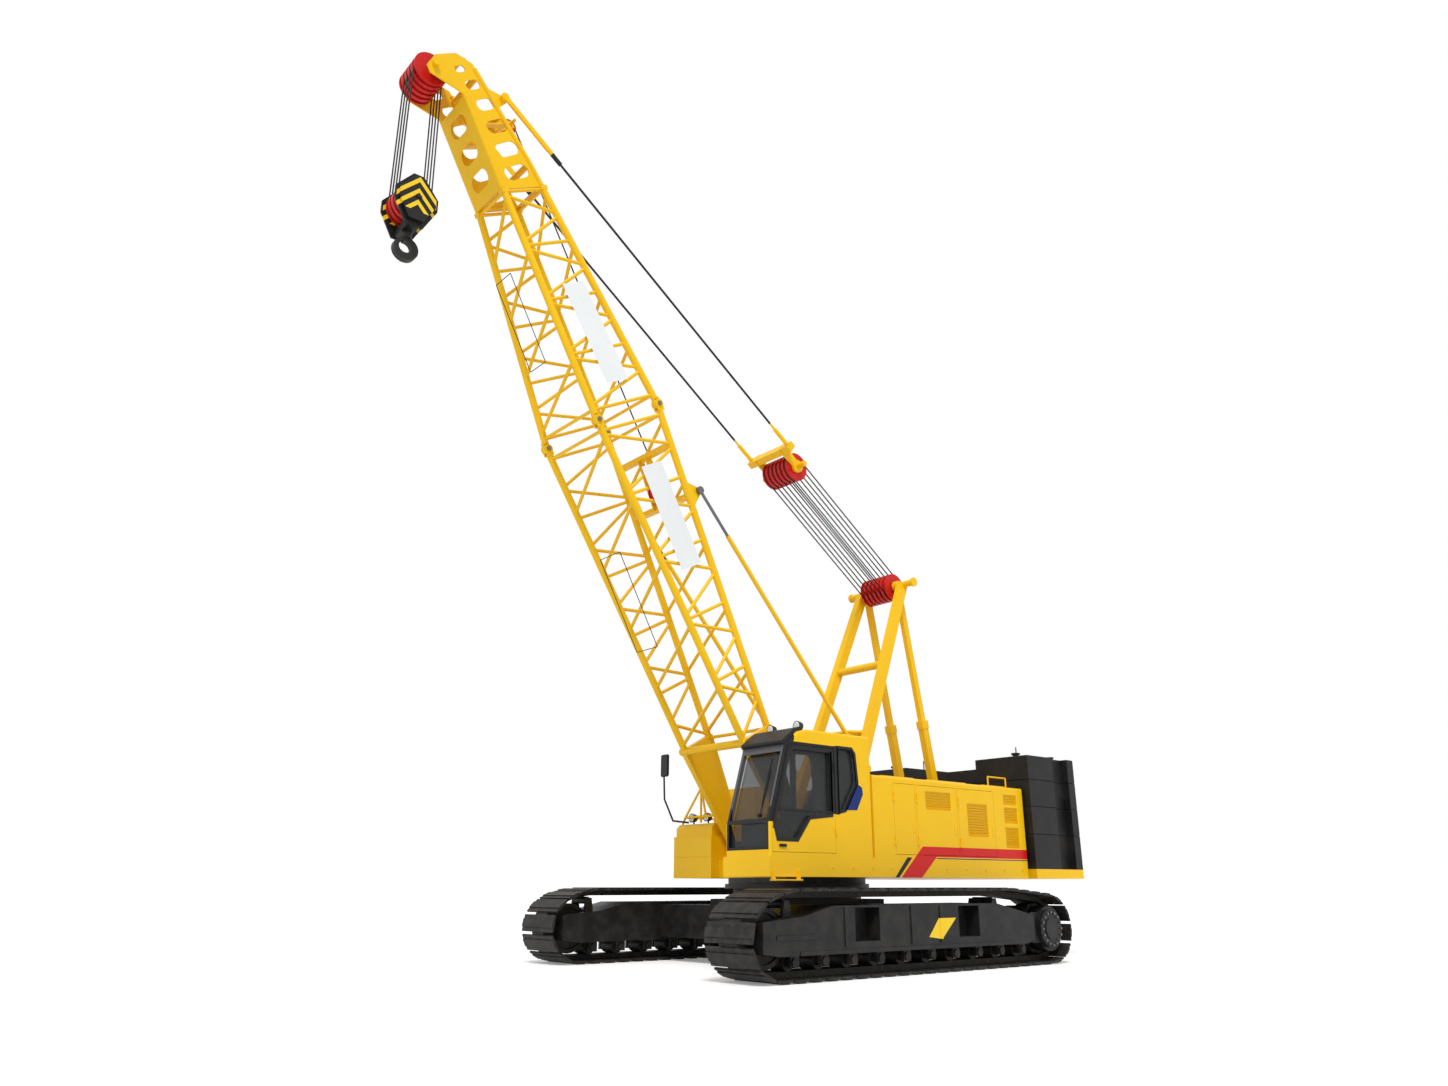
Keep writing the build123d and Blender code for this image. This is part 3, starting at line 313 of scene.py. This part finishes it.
# A plain slanting bar is painted on the outer plate of each track frame.
mark_planes = prism([(-0.199, 0.395), (0.058, 0.425), (-0.147, 0.645), (-0.494, 0.645)])
outer_plate_y = 2.2
frame_marks = [(mark_planes + [(0, side, 0, -outer_plate_y)], mark_yellow) for side in (1, -1)]
frame_paint = finish_of("black_frame_paint", frame_black, 0.42, 0.0, 0.12, 0.08, 5.0, 0.0012, frame_marks)
wheel_steel = finish_of("forged_wheel_steel", (0.030, 0.029, 0.028), 0.50, 0.35, 0.25, 0.18, 7.0, 0.002)
dress(shoe_steel, "track_left", "track_right")
dress(frame_paint, "track_frame_left", "track_frame_right", "carbody")
dress(wheel_steel, "track_rollers", "track_wheels", "slew_ring")

# Bolt heads go in rings and rows. One tree puts a six-sided head on every point of a small mesh,
# with its radius, height and finish as inputs.
bolt_tree = bpy.data.node_groups.new("bolt_heads", "GeometryNodeTree")
bolt_tree.interface.new_socket("Places", in_out="INPUT", socket_type="NodeSocketGeometry")
bolt_tree.interface.new_socket("Head radius", in_out="INPUT", socket_type="NodeSocketFloat")
bolt_tree.interface.new_socket("Head height", in_out="INPUT", socket_type="NodeSocketFloat")
bolt_tree.interface.new_socket("Finish", in_out="INPUT", socket_type="NodeSocketMaterial")
bolt_tree.interface.new_socket("Bolts", in_out="OUTPUT", socket_type="NodeSocketGeometry")
bolt_in = bolt_tree.nodes.new("NodeGroupInput")
bolt_out = bolt_tree.nodes.new("NodeGroupOutput")
bolt_head = bolt_tree.nodes.new("GeometryNodeMeshCylinder")
bolt_head.inputs["Vertices"].default_value = 6
bolt_turn = bolt_tree.nodes.new("FunctionNodeAlignRotationToVector")
bolt_turn.axis = "Z"
bolt_normal = bolt_tree.nodes.new("GeometryNodeInputNamedAttribute")
bolt_normal.data_type = "FLOAT_VECTOR"
bolt_normal.inputs["Name"].default_value = "facing"
bolt_spread = bolt_tree.nodes.new("GeometryNodeInstanceOnPoints")
bolt_real = bolt_tree.nodes.new("GeometryNodeRealizeInstances")
bolt_finish = bolt_tree.nodes.new("GeometryNodeSetMaterial")
bolt_links = bolt_tree.links
bolt_links.new(bolt_in.outputs["Head radius"], bolt_head.inputs["Radius"])
bolt_links.new(bolt_in.outputs["Head height"], bolt_head.inputs["Depth"])
bolt_links.new(bolt_in.outputs["Places"], bolt_spread.inputs["Points"])
bolt_links.new(bolt_head.outputs["Mesh"], bolt_spread.inputs["Instance"])
bolt_links.new(bolt_normal.outputs["Attribute"], bolt_turn.inputs["Vector"])
bolt_links.new(bolt_turn.outputs["Rotation"], bolt_spread.inputs["Rotation"])
bolt_links.new(bolt_spread.outputs["Instances"], bolt_real.inputs["Geometry"])
bolt_links.new(bolt_real.outputs["Geometry"], bolt_finish.inputs["Geometry"])
bolt_links.new(bolt_in.outputs["Finish"], bolt_finish.inputs["Material"])
bolt_links.new(bolt_finish.outputs["Geometry"], bolt_out.inputs["Bolts"])


def bolt_piece(name, places, radius, height, material, body):
    """Hexagon heads at the places, each a point and the way it faces."""
    seeds = bpy.data.meshes.new(name + "_seeds")
    lift = 0.4
    seeds.from_pydata([tuple(Vector(p) + Vector(n) * height * lift) for p, n in places], [], [])
    facing = seeds.attributes.new("facing", "FLOAT_VECTOR", "POINT")
    for i, (_, normal) in enumerate(places):
        facing.data[i].vector = normal
    holder = bpy.data.objects.new(name + "_seeds", seeds)
    scene.collection.objects.link(holder)
    modifier = holder.modifiers.new("bolts", "NODES")
    modifier.node_group = bolt_tree
    sockets = {item.name: item.identifier
               for item in bolt_tree.interface.items_tree if item.in_out == "INPUT"}
    modifier[sockets["Head radius"]] = radius
    modifier[sockets["Head height"]] = height
    modifier[sockets["Finish"]] = material
    made = bpy.data.meshes.new_from_object(holder.evaluated_get(bpy.context.evaluated_depsgraph_get()))
    bpy.data.objects.remove(holder)
    made.name = name
    piece = bpy.data.objects.new(name, made)
    scene.collection.objects.link(piece)
    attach(piece, body)
    return piece


bolt_steel = finish_of("zinc_bolt_steel", (0.20, 0.20, 0.20), 0.4, 0.8, 0.15)
drive_x, drive_z = -2.55, 0.466
frame_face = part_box("track_frame_left")[1][1]
cover_radius, cover_bolt_count, cover_sink = 0.215, 16, 0.002
cover_bolts = []
for side in (1, -1):
    for i in range(cover_bolt_count):
        a = 2 * pi * i / cover_bolt_count
        cover_bolts.append(((drive_x + cover_radius * cos(a), side * (frame_face - cover_sink),
                             drive_z + cover_radius * sin(a)), (0, side, 0)))
bolt_piece("drive_cover_bolts", cover_bolts, 0.016, 0.016, bolt_steel, "undercarriage")

# ---------------------------------------------------------------- upperworks
# Pressed steel panels over a welded deck, sprayed in one warm yellow with a clear gloss,
# with a red band and a black bar painted along the lower side.
yellow = (0.92, 0.535, 0.002)
red = (0.66, 0.008, 0.006)
black = (0.006, 0.006, 0.0065)
line_blue = (0.02, 0.03, 0.12)
# Each patch is bounded by planes a, b, c, d and lies where a*x + b*y + c*z + d is above 0.
left_only = (0, 1, 0, -1.0)
right_only = (0, -1, 0, -1.0)
band_low, band_high, line_low, line_high, bar_high = 1.425, 1.563, 1.398, 1.412, 1.41
band_front, line_front, band_rear = -0.90, -1.19, -3.36
red_slant = [(-0.410, 0, -0.470, 0.3654), (0.269, 0, 0.329, -0.1480)]
black_slant = [(-0.257, 0, -0.260, 0.2222), (0.258, 0, 0.280, -0.2235)]
ahead_of_rear = (1, 0, 0, -band_rear)
stripe_patches = []
for side_plane in (left_only, right_only):
    stripe_patches += [
        ([side_plane, (0, 0, 1, -band_low), (0, 0, -1, band_high), (-1, 0, 0, band_front), ahead_of_rear],
         red),
        ([side_plane, (0, 0, -1, band_high)] + red_slant, red),
        ([side_plane, (0, 0, -1, bar_high)] + black_slant, black),
        ([side_plane, (0, 0, 1, -line_low), (0, 0, -1, line_high), (-1, 0, 0, line_front), ahead_of_rear],
         line_blue),
    ]
body_yellow = finish_of("yellow_body_paint", yellow, 0.34, 0.0, 0.05, 0.02, 6.0, 0.0003, (), 0.06)
striped_yellow = finish_of("striped_body_paint", yellow, 0.34, 0.0, 0.05, 0.02, 6.0, 0.0003,
                           stripe_patches, 0.06)
plain_yellow = finish_of("yellow_steel_paint", yellow, 0.42, 0.0, 0.07, 0.03, 8.0, 0.0006, (), 0.04)
dress(striped_yellow, "deck", "engine_house", "right_house", "service_door_front", "service_door_middle",
      "service_door_rear")
dress(body_yellow, "front_boxes")
dress(plain_yellow, "gantry_front", "gantry_rear", "boom_base", "boom_tip", "boom_head", "bridle",
      "backstop_tubes", "counterweight_tray", "guard_rails")
casting = finish_of("black_casting_paint", (0.010, 0.010, 0.0105), 0.5, 0.0, 0.2, 0.05, 4.0, 0.004)
dress(casting, "counterweight_1", "counterweight_2", "counterweight_3", "counterweight_top")
engine_grey = finish_of("engine_grey_paint", (0.10, 0.10, 0.105), 0.5, 0.3, 0.2, 0.2)
dress(engine_grey, "engine", "winches")

# ---------------------------------------------------------------- cab
# A welded cab in body yellow with black window frames bonded over tinted safety glass,
# a cloth seat inside and a door hinged at its rear edge.
front_lean = 0.2965
side_glass_upper = [(0.39, 2.36), (0.634, 1.985), (1.93, 1.735), (1.66, 2.81), (0.48, 2.80), (0.43, 2.74)]
side_glass_lower = [(1.30, 1.88), (1.525, 1.592), (1.851, 1.592), (1.91, 1.78)]
lining_grey = (0.09, 0.09, 0.095)


def box_planes(low, high):
    """Half spaces of a box; a side given as None stays open."""
    planes = []
    for axis in range(3):
        unit = [0, 0, 0]
        unit[axis] = 1
        if low[axis] is not None:
            planes.append((*unit, -low[axis]))
        if high[axis] is not None:
            planes.append((*(-u for u in unit), high[axis]))
    return planes


windscreen = [(1, 0, front_lean, -1.862 - front_lean * 1.79)]
windscreen += box_planes((None, None, 1.80), (None, None, 2.935))
cab_patches = [
    (windscreen, black),
    (box_planes((1.93, 0.80, 1.465), (None, 1.60, 1.83)), black),
    (prism(side_glass_upper, 0.012), black),
    (prism(side_glass_lower, 0.014), black),
    (box_planes((0.135, 0.80, 1.42), (1.93, 1.595, 2.93)), lining_grey),
]
cab_yellow = finish_of("cab_paint", yellow, 0.34, 0.0, 0.05, 0.02, 6.0, 0.0003, cab_patches, 0.06)
dress(cab_yellow, "cab_shell", "cab_door")
seat_cloth = finish_of("grey_seat_cloth", (0.10, 0.10, 0.11), 0.85, 0.0, 0.2, 0.0, 120.0, 0.002)
dress(seat_cloth, "operator_seat")
glass = bpy.data.materials.new("tinted_safety_glass")
glass.use_nodes = True
glass_tree = glass.node_tree
glass_shader = glass_tree.nodes["Principled BSDF"]
glass_shader.inputs["Roughness"].default_value = 0.04
glass_shader.inputs["IOR"].default_value = 1.45
glass_shader.inputs["Alpha"].default_value = 0.42
glass_noise = glass_tree.nodes.new("ShaderNodeTexNoise")
glass_noise.inputs["Scale"].default_value = 2.0
glass_place = glass_tree.nodes.new("ShaderNodeTexCoord")
glass_tint = glass_tree.nodes.new("ShaderNodeMix")
glass_tint.data_type = "RGBA"
glass_tint.inputs[6].default_value = (0.030, 0.034, 0.034, 1.0)
glass_tint.inputs[7].default_value = (0.045, 0.050, 0.050, 1.0)
glass_tree.links.new(glass_place.outputs["Object"], glass_noise.inputs["Vector"])
glass_tree.links.new(glass_noise.outputs["Fac"], glass_tint.inputs[0])
glass_tree.links.new(glass_tint.outputs[2], glass_shader.inputs["Base Color"])
dress(glass, "cab_glass")

rubber = finish_of("black_window_rubber", (0.014, 0.014, 0.015), 0.45, 0.0, 0.15, 0.0, 40.0, 0.0004)
door_face = 1.630
door_pane = [(0.90, 1.925), (1.30, 1.88), (1.525, 1.60), (1.85, 1.60), (1.905, 1.79), (1.64, 2.66),
             (1.56, 2.73), (0.90, 2.73)]


def grown(outline, amount):
    """Outline moved outwards by amount, corner by corner."""
    middle = sum((Vector(p) for p in outline), Vector((0, 0))) / len(outline)
    moved = []
    count = len(outline)
    for i in range(count):
        a, b, c = Vector(outline[i - 1]), Vector(outline[i]), Vector(outline[(i + 1) % count])
        n1 = Vector(((b - a).y, -(b - a).x)).normalized()
        n2 = Vector(((c - b).y, -(c - b).x)).normalized()
        if n1.dot(b - middle) < 0 and n2.dot(b - middle) < 0:
            n1, n2 = -n1, -n2
        out = (n1 + n2).normalized()
        moved.append(tuple(b + out * amount / max(0.5, out.dot(n1))))
    return moved


def add_ring(bm, inner, outer, y, thickness):
    """Flat frame between two outlines, standing out from y."""
    count = len(inner)
    rings = []
    for outline, depth in ((inner, 0.0), (inner, thickness), (outer, thickness), (outer, 0.0)):
        rings.append([bm.verts.new((x, y + depth, z)) for x, z in outline])
    for a, b in zip(rings, rings[1:] + rings[:1]):
        for i in range(count):
            j = (i + 1) % count
            bm.faces.new((a[i], a[j], b[j], b[i]))


bm = bmesh.new()
pane = grown(door_pane, 0.012)
add_sheet(bm, pane, 0.005, side_place(door_face - 0.046))
new_piece("door_glass", bm, glass, "cab_door")
bm = bmesh.new()
add_ring(bm, grown(door_pane, -0.012), grown(door_pane, 0.034), door_face, 0.004)
add_block(bm, (0.835, door_face, 1.95), (0.905, door_face + 0.004, 2.74), 0.001)
add_block(bm, (0.90, door_face, 1.945), (1.90, door_face + 0.005, 1.965), 0.001)
new_piece("door_window_frame", bm, rubber, "cab_door")
rear_pane = [(0.745, 2.80), (0.48, 2.80), (0.43, 2.74), (0.39, 2.36), (0.634, 1.992), (0.745, 1.965)]
bm = bmesh.new()
add_ring(bm, grown(rear_pane, -0.010), grown(rear_pane, 0.026), door_face, 0.004)
add_block(bm, (0.745, door_face, 1.93), (0.822, door_face + 0.004, 2.82), 0.001)
new_piece("rear_window_frame", bm, rubber, "upperworks")
blue = finish_of("blue_corner_paint", (0.004, 0.022, 0.16), 0.35, 0.0, 0.05)
corner_outline = [(0.634, 1.992), (0.412, 2.001), (0.286, 2.213), (0.300, 2.300), (0.391, 2.349)]
bm = bmesh.new()
add_sheet(bm, corner_outline, 0.004, side_place(door_face))
new_piece("corner_patch", bm, blue, "upperworks")

# Black handle, rain visor and wiper, and four round work lamps on short stalks
bm = bmesh.new()
add_block(bm, (1.72, door_face, 1.50), (1.84, door_face + 0.022, 1.535), 0.006)
new_piece("door_handle", bm, rubber, "cab_door")
bm = bmesh.new()
hood = [(1.705, 2.775), (1.745, 2.800), (1.735, 2.830), (1.510, 3.000), (1.400, 3.030), (1.390, 2.992),
        (1.480, 2.962)]
cab_right_side, hood_width = 0.80, 0.80
add_sheet(bm, hood, hood_width, side_place(cab_right_side))
new_piece("sun_visor", bm, rubber, "upperworks")
bm = bmesh.new()
wiper_low = Vector((1.965, 1.42, 1.88))
wiper_high = Vector((1.80, 1.46, 2.44))
blade_low = wiper_low + (wiper_high - wiper_low) * 0.25 + Vector((0.012, 0, 0))
blade_high = wiper_high + Vector((-0.02, 0, 0.16))
add_rod(bm, wiper_low, wiper_high, 0.009, 8)
add_rod(bm, blade_low, blade_high, 0.013, 8)
add_rod(bm, wiper_low - Vector((0.02, 0, 0)), wiper_low + Vector((0.03, 0, 0)), 0.022, 12)
new_piece("screen_wiper", bm, rubber, "upperworks")
lamp_shell = finish_of("lamp_housing_black", (0.02, 0.02, 0.02), 0.4)
lamp_lens = finish_of("lamp_lens", (0.75, 0.76, 0.72), 0.12, 0.0, 0.05, 0.0, 60.0, 0.001, (), 0.6)
lamp_places = [(1.28, 0.93, 3.06), (1.28, 1.45, 3.06), (0.80, -1.40, 2.02), (0.80, -1.05, 2.02)]
for index, (x, y, z) in enumerate(lamp_places):
    bm = bmesh.new()
    add_rod(bm, (x - 0.03, y, z), (x + 0.05, y, z), 0.055, 20, 0.068)
    add_rod(bm, (x, y, z - 0.10), (x, y, z - 0.03), 0.012, 8)
    new_piece(f"work_lamp_{index}", bm, lamp_shell, "upperworks")
    bm = bmesh.new()
    add_rod(bm, (x + 0.0505, y, z), (x + 0.058, y, z), 0.058, 20, 0.045)
    new_piece(f"work_lamp_lens_{index}", bm, lamp_lens, "upperworks")

# Two consoles with levers beside the seat, and the dash ahead of it
plastic = finish_of("grey_cab_plastic", (0.09, 0.09, 0.095), 0.6, 0.0, 0.1, 0.0, 60.0, 0.0008)
bm = bmesh.new()
for y in (0.86, 1.46):
    add_block(bm, (0.55, y, 1.46), (1.10, y + 0.09, 2.02), 0.02)
    for x in (0.98, 1.04):
        add_rod(bm, (x, y + 0.045, 2.0), (x + 0.02, y + 0.045, 2.18), 0.008, 8)
        bmesh.ops.create_uvsphere(bm, u_segments=12, v_segments=8, radius=0.022,
                                  matrix=Matrix.Translation((x + 0.02, y + 0.045, 2.19)))
add_block(bm, (1.72, 0.90, 1.46), (1.84, 1.50, 1.86), 0.02)
new_piece("cab_controls", bm, plastic, "upperworks")

# Step under the cab door, made of bent flat bar
bm = bmesh.new()
for x in (1.50, 1.93):
    add_block(bm, (x, 1.60, 1.10), (x + 0.035, 1.66, 1.22), 0.004)
add_block(bm, (1.50, 1.585, 1.095), (1.965, 1.70, 1.115), 0.004)
new_piece("cab_step", bm, body_yellow, "upperworks")

# Mirror on its bent arm at the right front corner
bm = bmesh.new()
arm_radius = 0.014
arm = [(0.90, -1.40, 1.95), (1.05, -1.60, 1.98), (1.16, -1.68, 2.30), (1.16, -1.70, 2.64)]
for a, b in zip(arm, arm[1:]):
    add_rod(bm, a, b, arm_radius, 8)
    bmesh.ops.create_uvsphere(bm, u_segments=8, v_segments=6, radius=arm_radius,
                              matrix=Matrix.Translation(b))
add_block(bm, (1.13, -1.79, 2.64), (1.17, -1.60, 2.98), 0.015)
new_piece("side_mirror", bm, lamp_shell, "upperworks")

# ---------------------------------------------------------------- house fittings
# A low rail and a filler cap stand on the engine house roof, two pins rise from the top slab,
# and bolts run along both edges of the deck.
bm = bmesh.new()
roof_z, rail_height, rail_y, rail_radius = 2.49, 0.16, 1.45, 0.012
rail_ends = (-3.2, -2.75)
for x in rail_ends:
    add_rod(bm, (x, rail_y, roof_z), (x, rail_y, roof_z + rail_height), rail_radius, 8)
add_rod(bm, (rail_ends[0], rail_y, roof_z + rail_height), (rail_ends[1], rail_y, roof_z + rail_height),
        rail_radius, 8)
add_rod(bm, (-0.40, 1.10, roof_z), (-0.40, 1.10, roof_z + 0.10), 0.05, 16, 0.035)
new_piece("roof_rail", bm, plain_yellow, "upperworks")
bm = bmesh.new()
pin_x, slab_top = -4.2, 3.01
for pin_y, pin_top in ((1.0, 3.26), (-1.0, 3.20)):
    add_rod(bm, (pin_x, pin_y, slab_top), (pin_x, pin_y, pin_top), 0.012, 8)
new_piece("weight_pins", bm, bolt_steel, "upperworks")
house_bolts = []
deck_edge, deck_bolt_z = 1.630, 1.265
for x in (0.90, 0.52, 0.14, -0.24, -1.40, -1.85, -2.30, -2.75, -3.20):
    house_bolts.append(((x, deck_edge, deck_bolt_z), (0, 1, 0)))
    house_bolts.append(((x, -deck_edge, deck_bolt_z), (0, -1, 0)))
bolt_piece("deck_edge_bolts", house_bolts, 0.014, 0.012, body_yellow, "upperworks")

# ---------------------------------------------------------------- winches
# Three steel drums stand on the deck between the houses.
# Each carries close turns of greased wire rope.
rope_steel = finish_of("greased_wire_rope", (0.035, 0.034, 0.033), 0.48, 0.6, 0.3, 0.0, 90.0, 0.002)
drum_places, drum_z = (-0.50, -1.35, -2.25), 1.80
turn_radius, wire_radius, wound_half = 0.213, 0.012, 0.34
ring_count, turn_sides = 28, 28
bm = bmesh.new()
for x in drum_places:
    for k in range(ring_count):
        y = -wound_half + 2 * wound_half * k / (ring_count - 1)
        loops = []
        for j in range(turn_sides):
            a = 2 * pi * j / turn_sides
            out = Vector((cos(a), 0, sin(a)))
            mid = Vector((x, y, drum_z)) + out * turn_radius
            loops.append([bm.verts.new(mid + (out * cos(b) + Vector((0, sin(b), 0))) * wire_radius)
                          for b in (0, pi / 2, pi, 3 * pi / 2)])
        for a_ring, b_ring in zip(loops, loops[1:] + loops[:1]):
            for j in range(4):
                bm.faces.new((a_ring[j], b_ring[j], b_ring[(j + 1) % 4], a_ring[(j + 1) % 4]))
new_piece("drum_rope_turns", bm, rope_steel, "upperworks", smooth=True)

# ---------------------------------------------------------------- sheaves
# Cast sheaves in bright red paint turn at the gantry head, in the bridle, at the boom head
# and in the hook block.
sheave_red = finish_of("red_sheave_paint", (0.60, 0.008, 0.005), 0.4, 0.0, 0.15, 0.05, 12.0, 0.001, (), 0.04)
dress(sheave_red, "gantry_sheaves", "bridle_sheaves", "head_sheaves", "block_sheaves", "guide_sheaves")

# ---------------------------------------------------------------- luffing ropes
# Twelve parts of wire rope run between the fixed sheaves at the gantry head and the bridle,
# and lie round half of each sheave.
apex = Vector(joints["gantry_sheaves_turn"]["pos_m"])
line = Vector(joints["bridle_travel"]["axis"]).normalized()
upward = Vector((-line.z, 0, line.x))
bridle_low, bridle_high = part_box("bridle_sheaves")
bridle_centre = Vector([(a + b) / 2 for a, b in zip(bridle_low, bridle_high)])
groove = 0.2123


def add_tube(bm, path, radius, sides=8):
    """Closed tube through the points of a path."""
    rings = []
    for i, point in enumerate(path):
        ahead = path[min(i + 1, len(path) - 1)] - path[max(i - 1, 0)]
        across = ahead.cross(Vector((0, 1, 0)))
        if across.length < 1e-6:
            across = ahead.cross(Vector((1, 0, 0)))
        across.normalize()
        other = ahead.normalized().cross(across)
        angles = [2 * pi * j / sides for j in range(sides)]
        rings.append([bm.verts.new(point + (across * cos(a) + other * sin(a)) * radius) for a in angles])
    for a, b in zip(rings, rings[1:]):
        for j in range(sides):
            bm.faces.new((a[j], a[(j + 1) % sides], b[(j + 1) % sides], b[j]))
    bm.faces.new(rings[0][::-1])
    bm.faces.new(rings[-1])


bm = bmesh.new()
luff_loops, sheave_pack, bends, stretches = 6, 0.56, 10, 6
rope_radius = 0.0105
span = bridle_centre - apex
for i in range(luff_loops):
    y = Vector((0, -sheave_pack / 2 + (i + 0.5) * sheave_pack / luff_loops, 0))
    low_bend = [pi - pi * k / bends for k in range(bends)]
    high_bend = [pi * k / bends for k in range(1, bends + 1)]
    path = [apex + y + (upward * cos(a) - line * sin(a)) * groove for a in low_bend]
    path += [apex + y + upward * groove + span * k / stretches for k in range(stretches + 1)]
    path += [bridle_centre + y + (upward * cos(a) + line * sin(a)) * groove for a in high_bend]
    path += [bridle_centre + y - upward * groove - span * k / stretches for k in range(1, stretches + 1)]
    add_tube(bm, path, rope_radius)
luff_rope_parts = new_piece("luff_rope_parts", bm, rope_steel, None, smooth=True)
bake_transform(luff_rope_parts)
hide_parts("luff_ropes")

# ---------------------------------------------------------------- pendants and backstops
# Two steel links at the boom head, two long wire ropes in swaged sockets, and telescopic
# backstops with a bright rod.
from_apex = -apex.dot(line)
links_start, lugs_end = 8.72, 3.62
link_patches = [([(line.x, 0, line.z, from_apex - links_start)], yellow),
                ([(-line.x, 0, -line.z, -from_apex + lugs_end)], yellow)]
pendant_paint = finish_of("pendant_finish", (0.030, 0.030, 0.030), 0.45, 0.5, 0.2, 0.0, 60.0, 0.001,
                          link_patches)
dress(pendant_paint, "pendants")
rod_steel = finish_of("bright_rod_steel", (0.16, 0.16, 0.16), 0.3, 0.7, 0.15, 0.0, 30.0, 0.0004)
dress(rod_steel, "backstop_rods")

# ---------------------------------------------------------------- hoist ropes
# Eight falls of wire rope run from the head sheaves down to the hook block.
# Each lies round half of its sheaves and stays plumb.
head_shaft = Vector(joints["head_sheaves_turn"]["pos_m"])
block_low, block_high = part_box("block_sheaves")
block_shaft = Vector([(a + b) / 2 for a, b in zip(block_low, block_high)])
fall_x, sheave_step, block_loops, head_loops = 0.2223, 0.10, 4, 5
block_start, head_start = -0.15, -0.20
bm = bmesh.new()
for i in range(block_loops):
    y = block_start + i * sheave_step
    rear_top = head_shaft + Vector((-fall_x, y - sheave_step / 2, 0))
    front_top = head_shaft + Vector((fall_x, y + sheave_step / 2, 0))
    rear_low = block_shaft + Vector((-fall_x, y, 0))
    front_low = block_shaft + Vector((fall_x, y, 0))
    under = [pi * k / bends for k in range(1, bends)]
    path = [rear_top + (rear_low - rear_top) * k / stretches for k in range(stretches + 1)]
    path += [block_shaft + Vector((-fall_x * cos(a), y, -fall_x * sin(a))) for a in under]
    path += [front_low + (front_top - front_low) * k / stretches for k in range(stretches + 1)]
    add_tube(bm, path, rope_radius)
for i in range(head_loops):
    y = head_start + i * sheave_step
    over = [pi * k / 12 for k in range(13)]
    add_tube(bm, [head_shaft + Vector((-fall_x * cos(a), y, fall_x * sin(a))) for a in over], rope_radius)
hoist_rope_falls = new_piece("hoist_rope_falls", bm, rope_steel, None, smooth=True)
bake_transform(hoist_rope_falls)
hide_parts("hoist_ropes")

# ---------------------------------------------------------------- hook block and hook
# Heavy cheek plates in black paint carry yellow chevrons.
# A forged hook hangs below them under its swivel nut.
chevron_count, chevron_step, chevron_width, chevron_slope = 3, 0.17, 0.075, 1.05
chevrons = []
for k in range(chevron_count):
    top = block_shaft.z + 0.27 - chevron_step * k
    for way in (1, -1):
        slope = chevron_slope * way
        lower_edge = (slope, 0, 1, chevron_width - slope * block_shaft.x - top)
        upper_edge = (-slope, 0, -1, slope * block_shaft.x + top)
        chevrons.append(([(way, 0, 0, -way * block_shaft.x), lower_edge, upper_edge,
                          (0, 0, 1, 0.24 - block_shaft.z), (-way, 0, 0, way * block_shaft.x + 0.27)],
                         mark_yellow))
block_black = finish_of("block_cheek_paint", (0.009, 0.009, 0.009), 0.42, 0.0, 0.2, 0.05, 10.0, 0.001,
                        chevrons, 0.04)
dress(block_black, "hook_block")
hook_black = finish_of("forged_hook_black", (0.028, 0.027, 0.026), 0.5, 0.3, 0.2, 0.08, 10.0, 0.003)
dress(hook_black, "hook")

# ---------------------------------------------------------------- boom fittings
# Blank white sheet-metal plates are clipped to the side lacing, bolt heads sit at the section
# joints, and the hoist line and thin wires run along the lattice.
boom_foot = Vector(joints["boom_luff"]["pos_m"])
boom_angle = radians(61.5)
along = Vector((cos(boom_angle), 0, sin(boom_angle)))
back = Vector((-sin(boom_angle), 0, cos(boom_angle)))


def boom_place(s, t, y):
    return boom_foot + along * s + back * t + Vector((0, y, 0))


plate_white = finish_of("white_plate_enamel", (0.82, 0.83, 0.82), 0.3, 0.0, 0.04, 0.03, 12.0, 0.0003)
half, thick = 0.185, 0.003
# columns: start and end along the boom, rise to its back, y at the start and at the end
side_plates = [(6.95, 8.45, 0.02, 0.668, 0.548), (4.20, 5.72, 0.0, 0.705, 0.705)]
for index, (s0, s1, t0, y0, y1) in enumerate(side_plates):
    bm = bmesh.new()
    corners = [(s0, -half, y0), (s1, -half, y1), (s1, half, y1), (s0, half, y0)]
    low = [bm.verts.new(boom_place(s, t0 + t, y)) for s, t, y in corners]
    high = [bm.verts.new(boom_place(s, t0 + t, y + thick)) for s, t, y in corners]
    bm.faces.new(low)
    bm.faces.new(high)
    for i in range(4):
        j = (i + 1) % 4
        bm.faces.new((low[i], low[j], high[j], high[i]))
    new_piece(f"side_plate_{index}", bm, plate_white, "boom")
joint_s, joint_t, joint_y, pin_half = 6.5, 0.56, 0.65, 0.060
pin_places = []
for y in (-joint_y, joint_y):
    for t in (-joint_t, joint_t):
        for way in (1, -1):
            pin_places.append((tuple(boom_place(joint_s, t, y + way * pin_half)), (0, way, 0)))
bolt_piece("boom_joint_pins", pin_places, 0.036, 0.014, bolt_steel, "boom")
bm = bmesh.new()
line_path = [boom_place(5.35, 0.632, 0), boom_place(8.2, 0.585, 0), boom_place(11.04, 0.535, 0)]
add_tube(bm, line_path, 0.010)
new_piece("hoist_line_on_boom", bm, rope_steel, "boom")

# Thin signal wires are clipped in two long loops under the belly lacing.
# columns: start and end along the boom, y of one side and of the other, rise to the boom's back
wire_loops = [(7.55, 8.85, -0.28, 0.12, -0.60), (3.35, 4.75, -0.34, 0.14, -0.63)]
bm = bmesh.new()
for s0, s1, y0, y1, t in wire_loops:
    loop = [boom_place(s, t, y) for s, y in ((s0, y0), (s1, y0), (s1, y1), (s0, y1), (s0, y0))]
    for a, b in zip(loop, loop[1:]):
        add_rod(bm, a, b, 0.006, 6)
new_piece("signal_wires", bm, rope_steel, "boom")
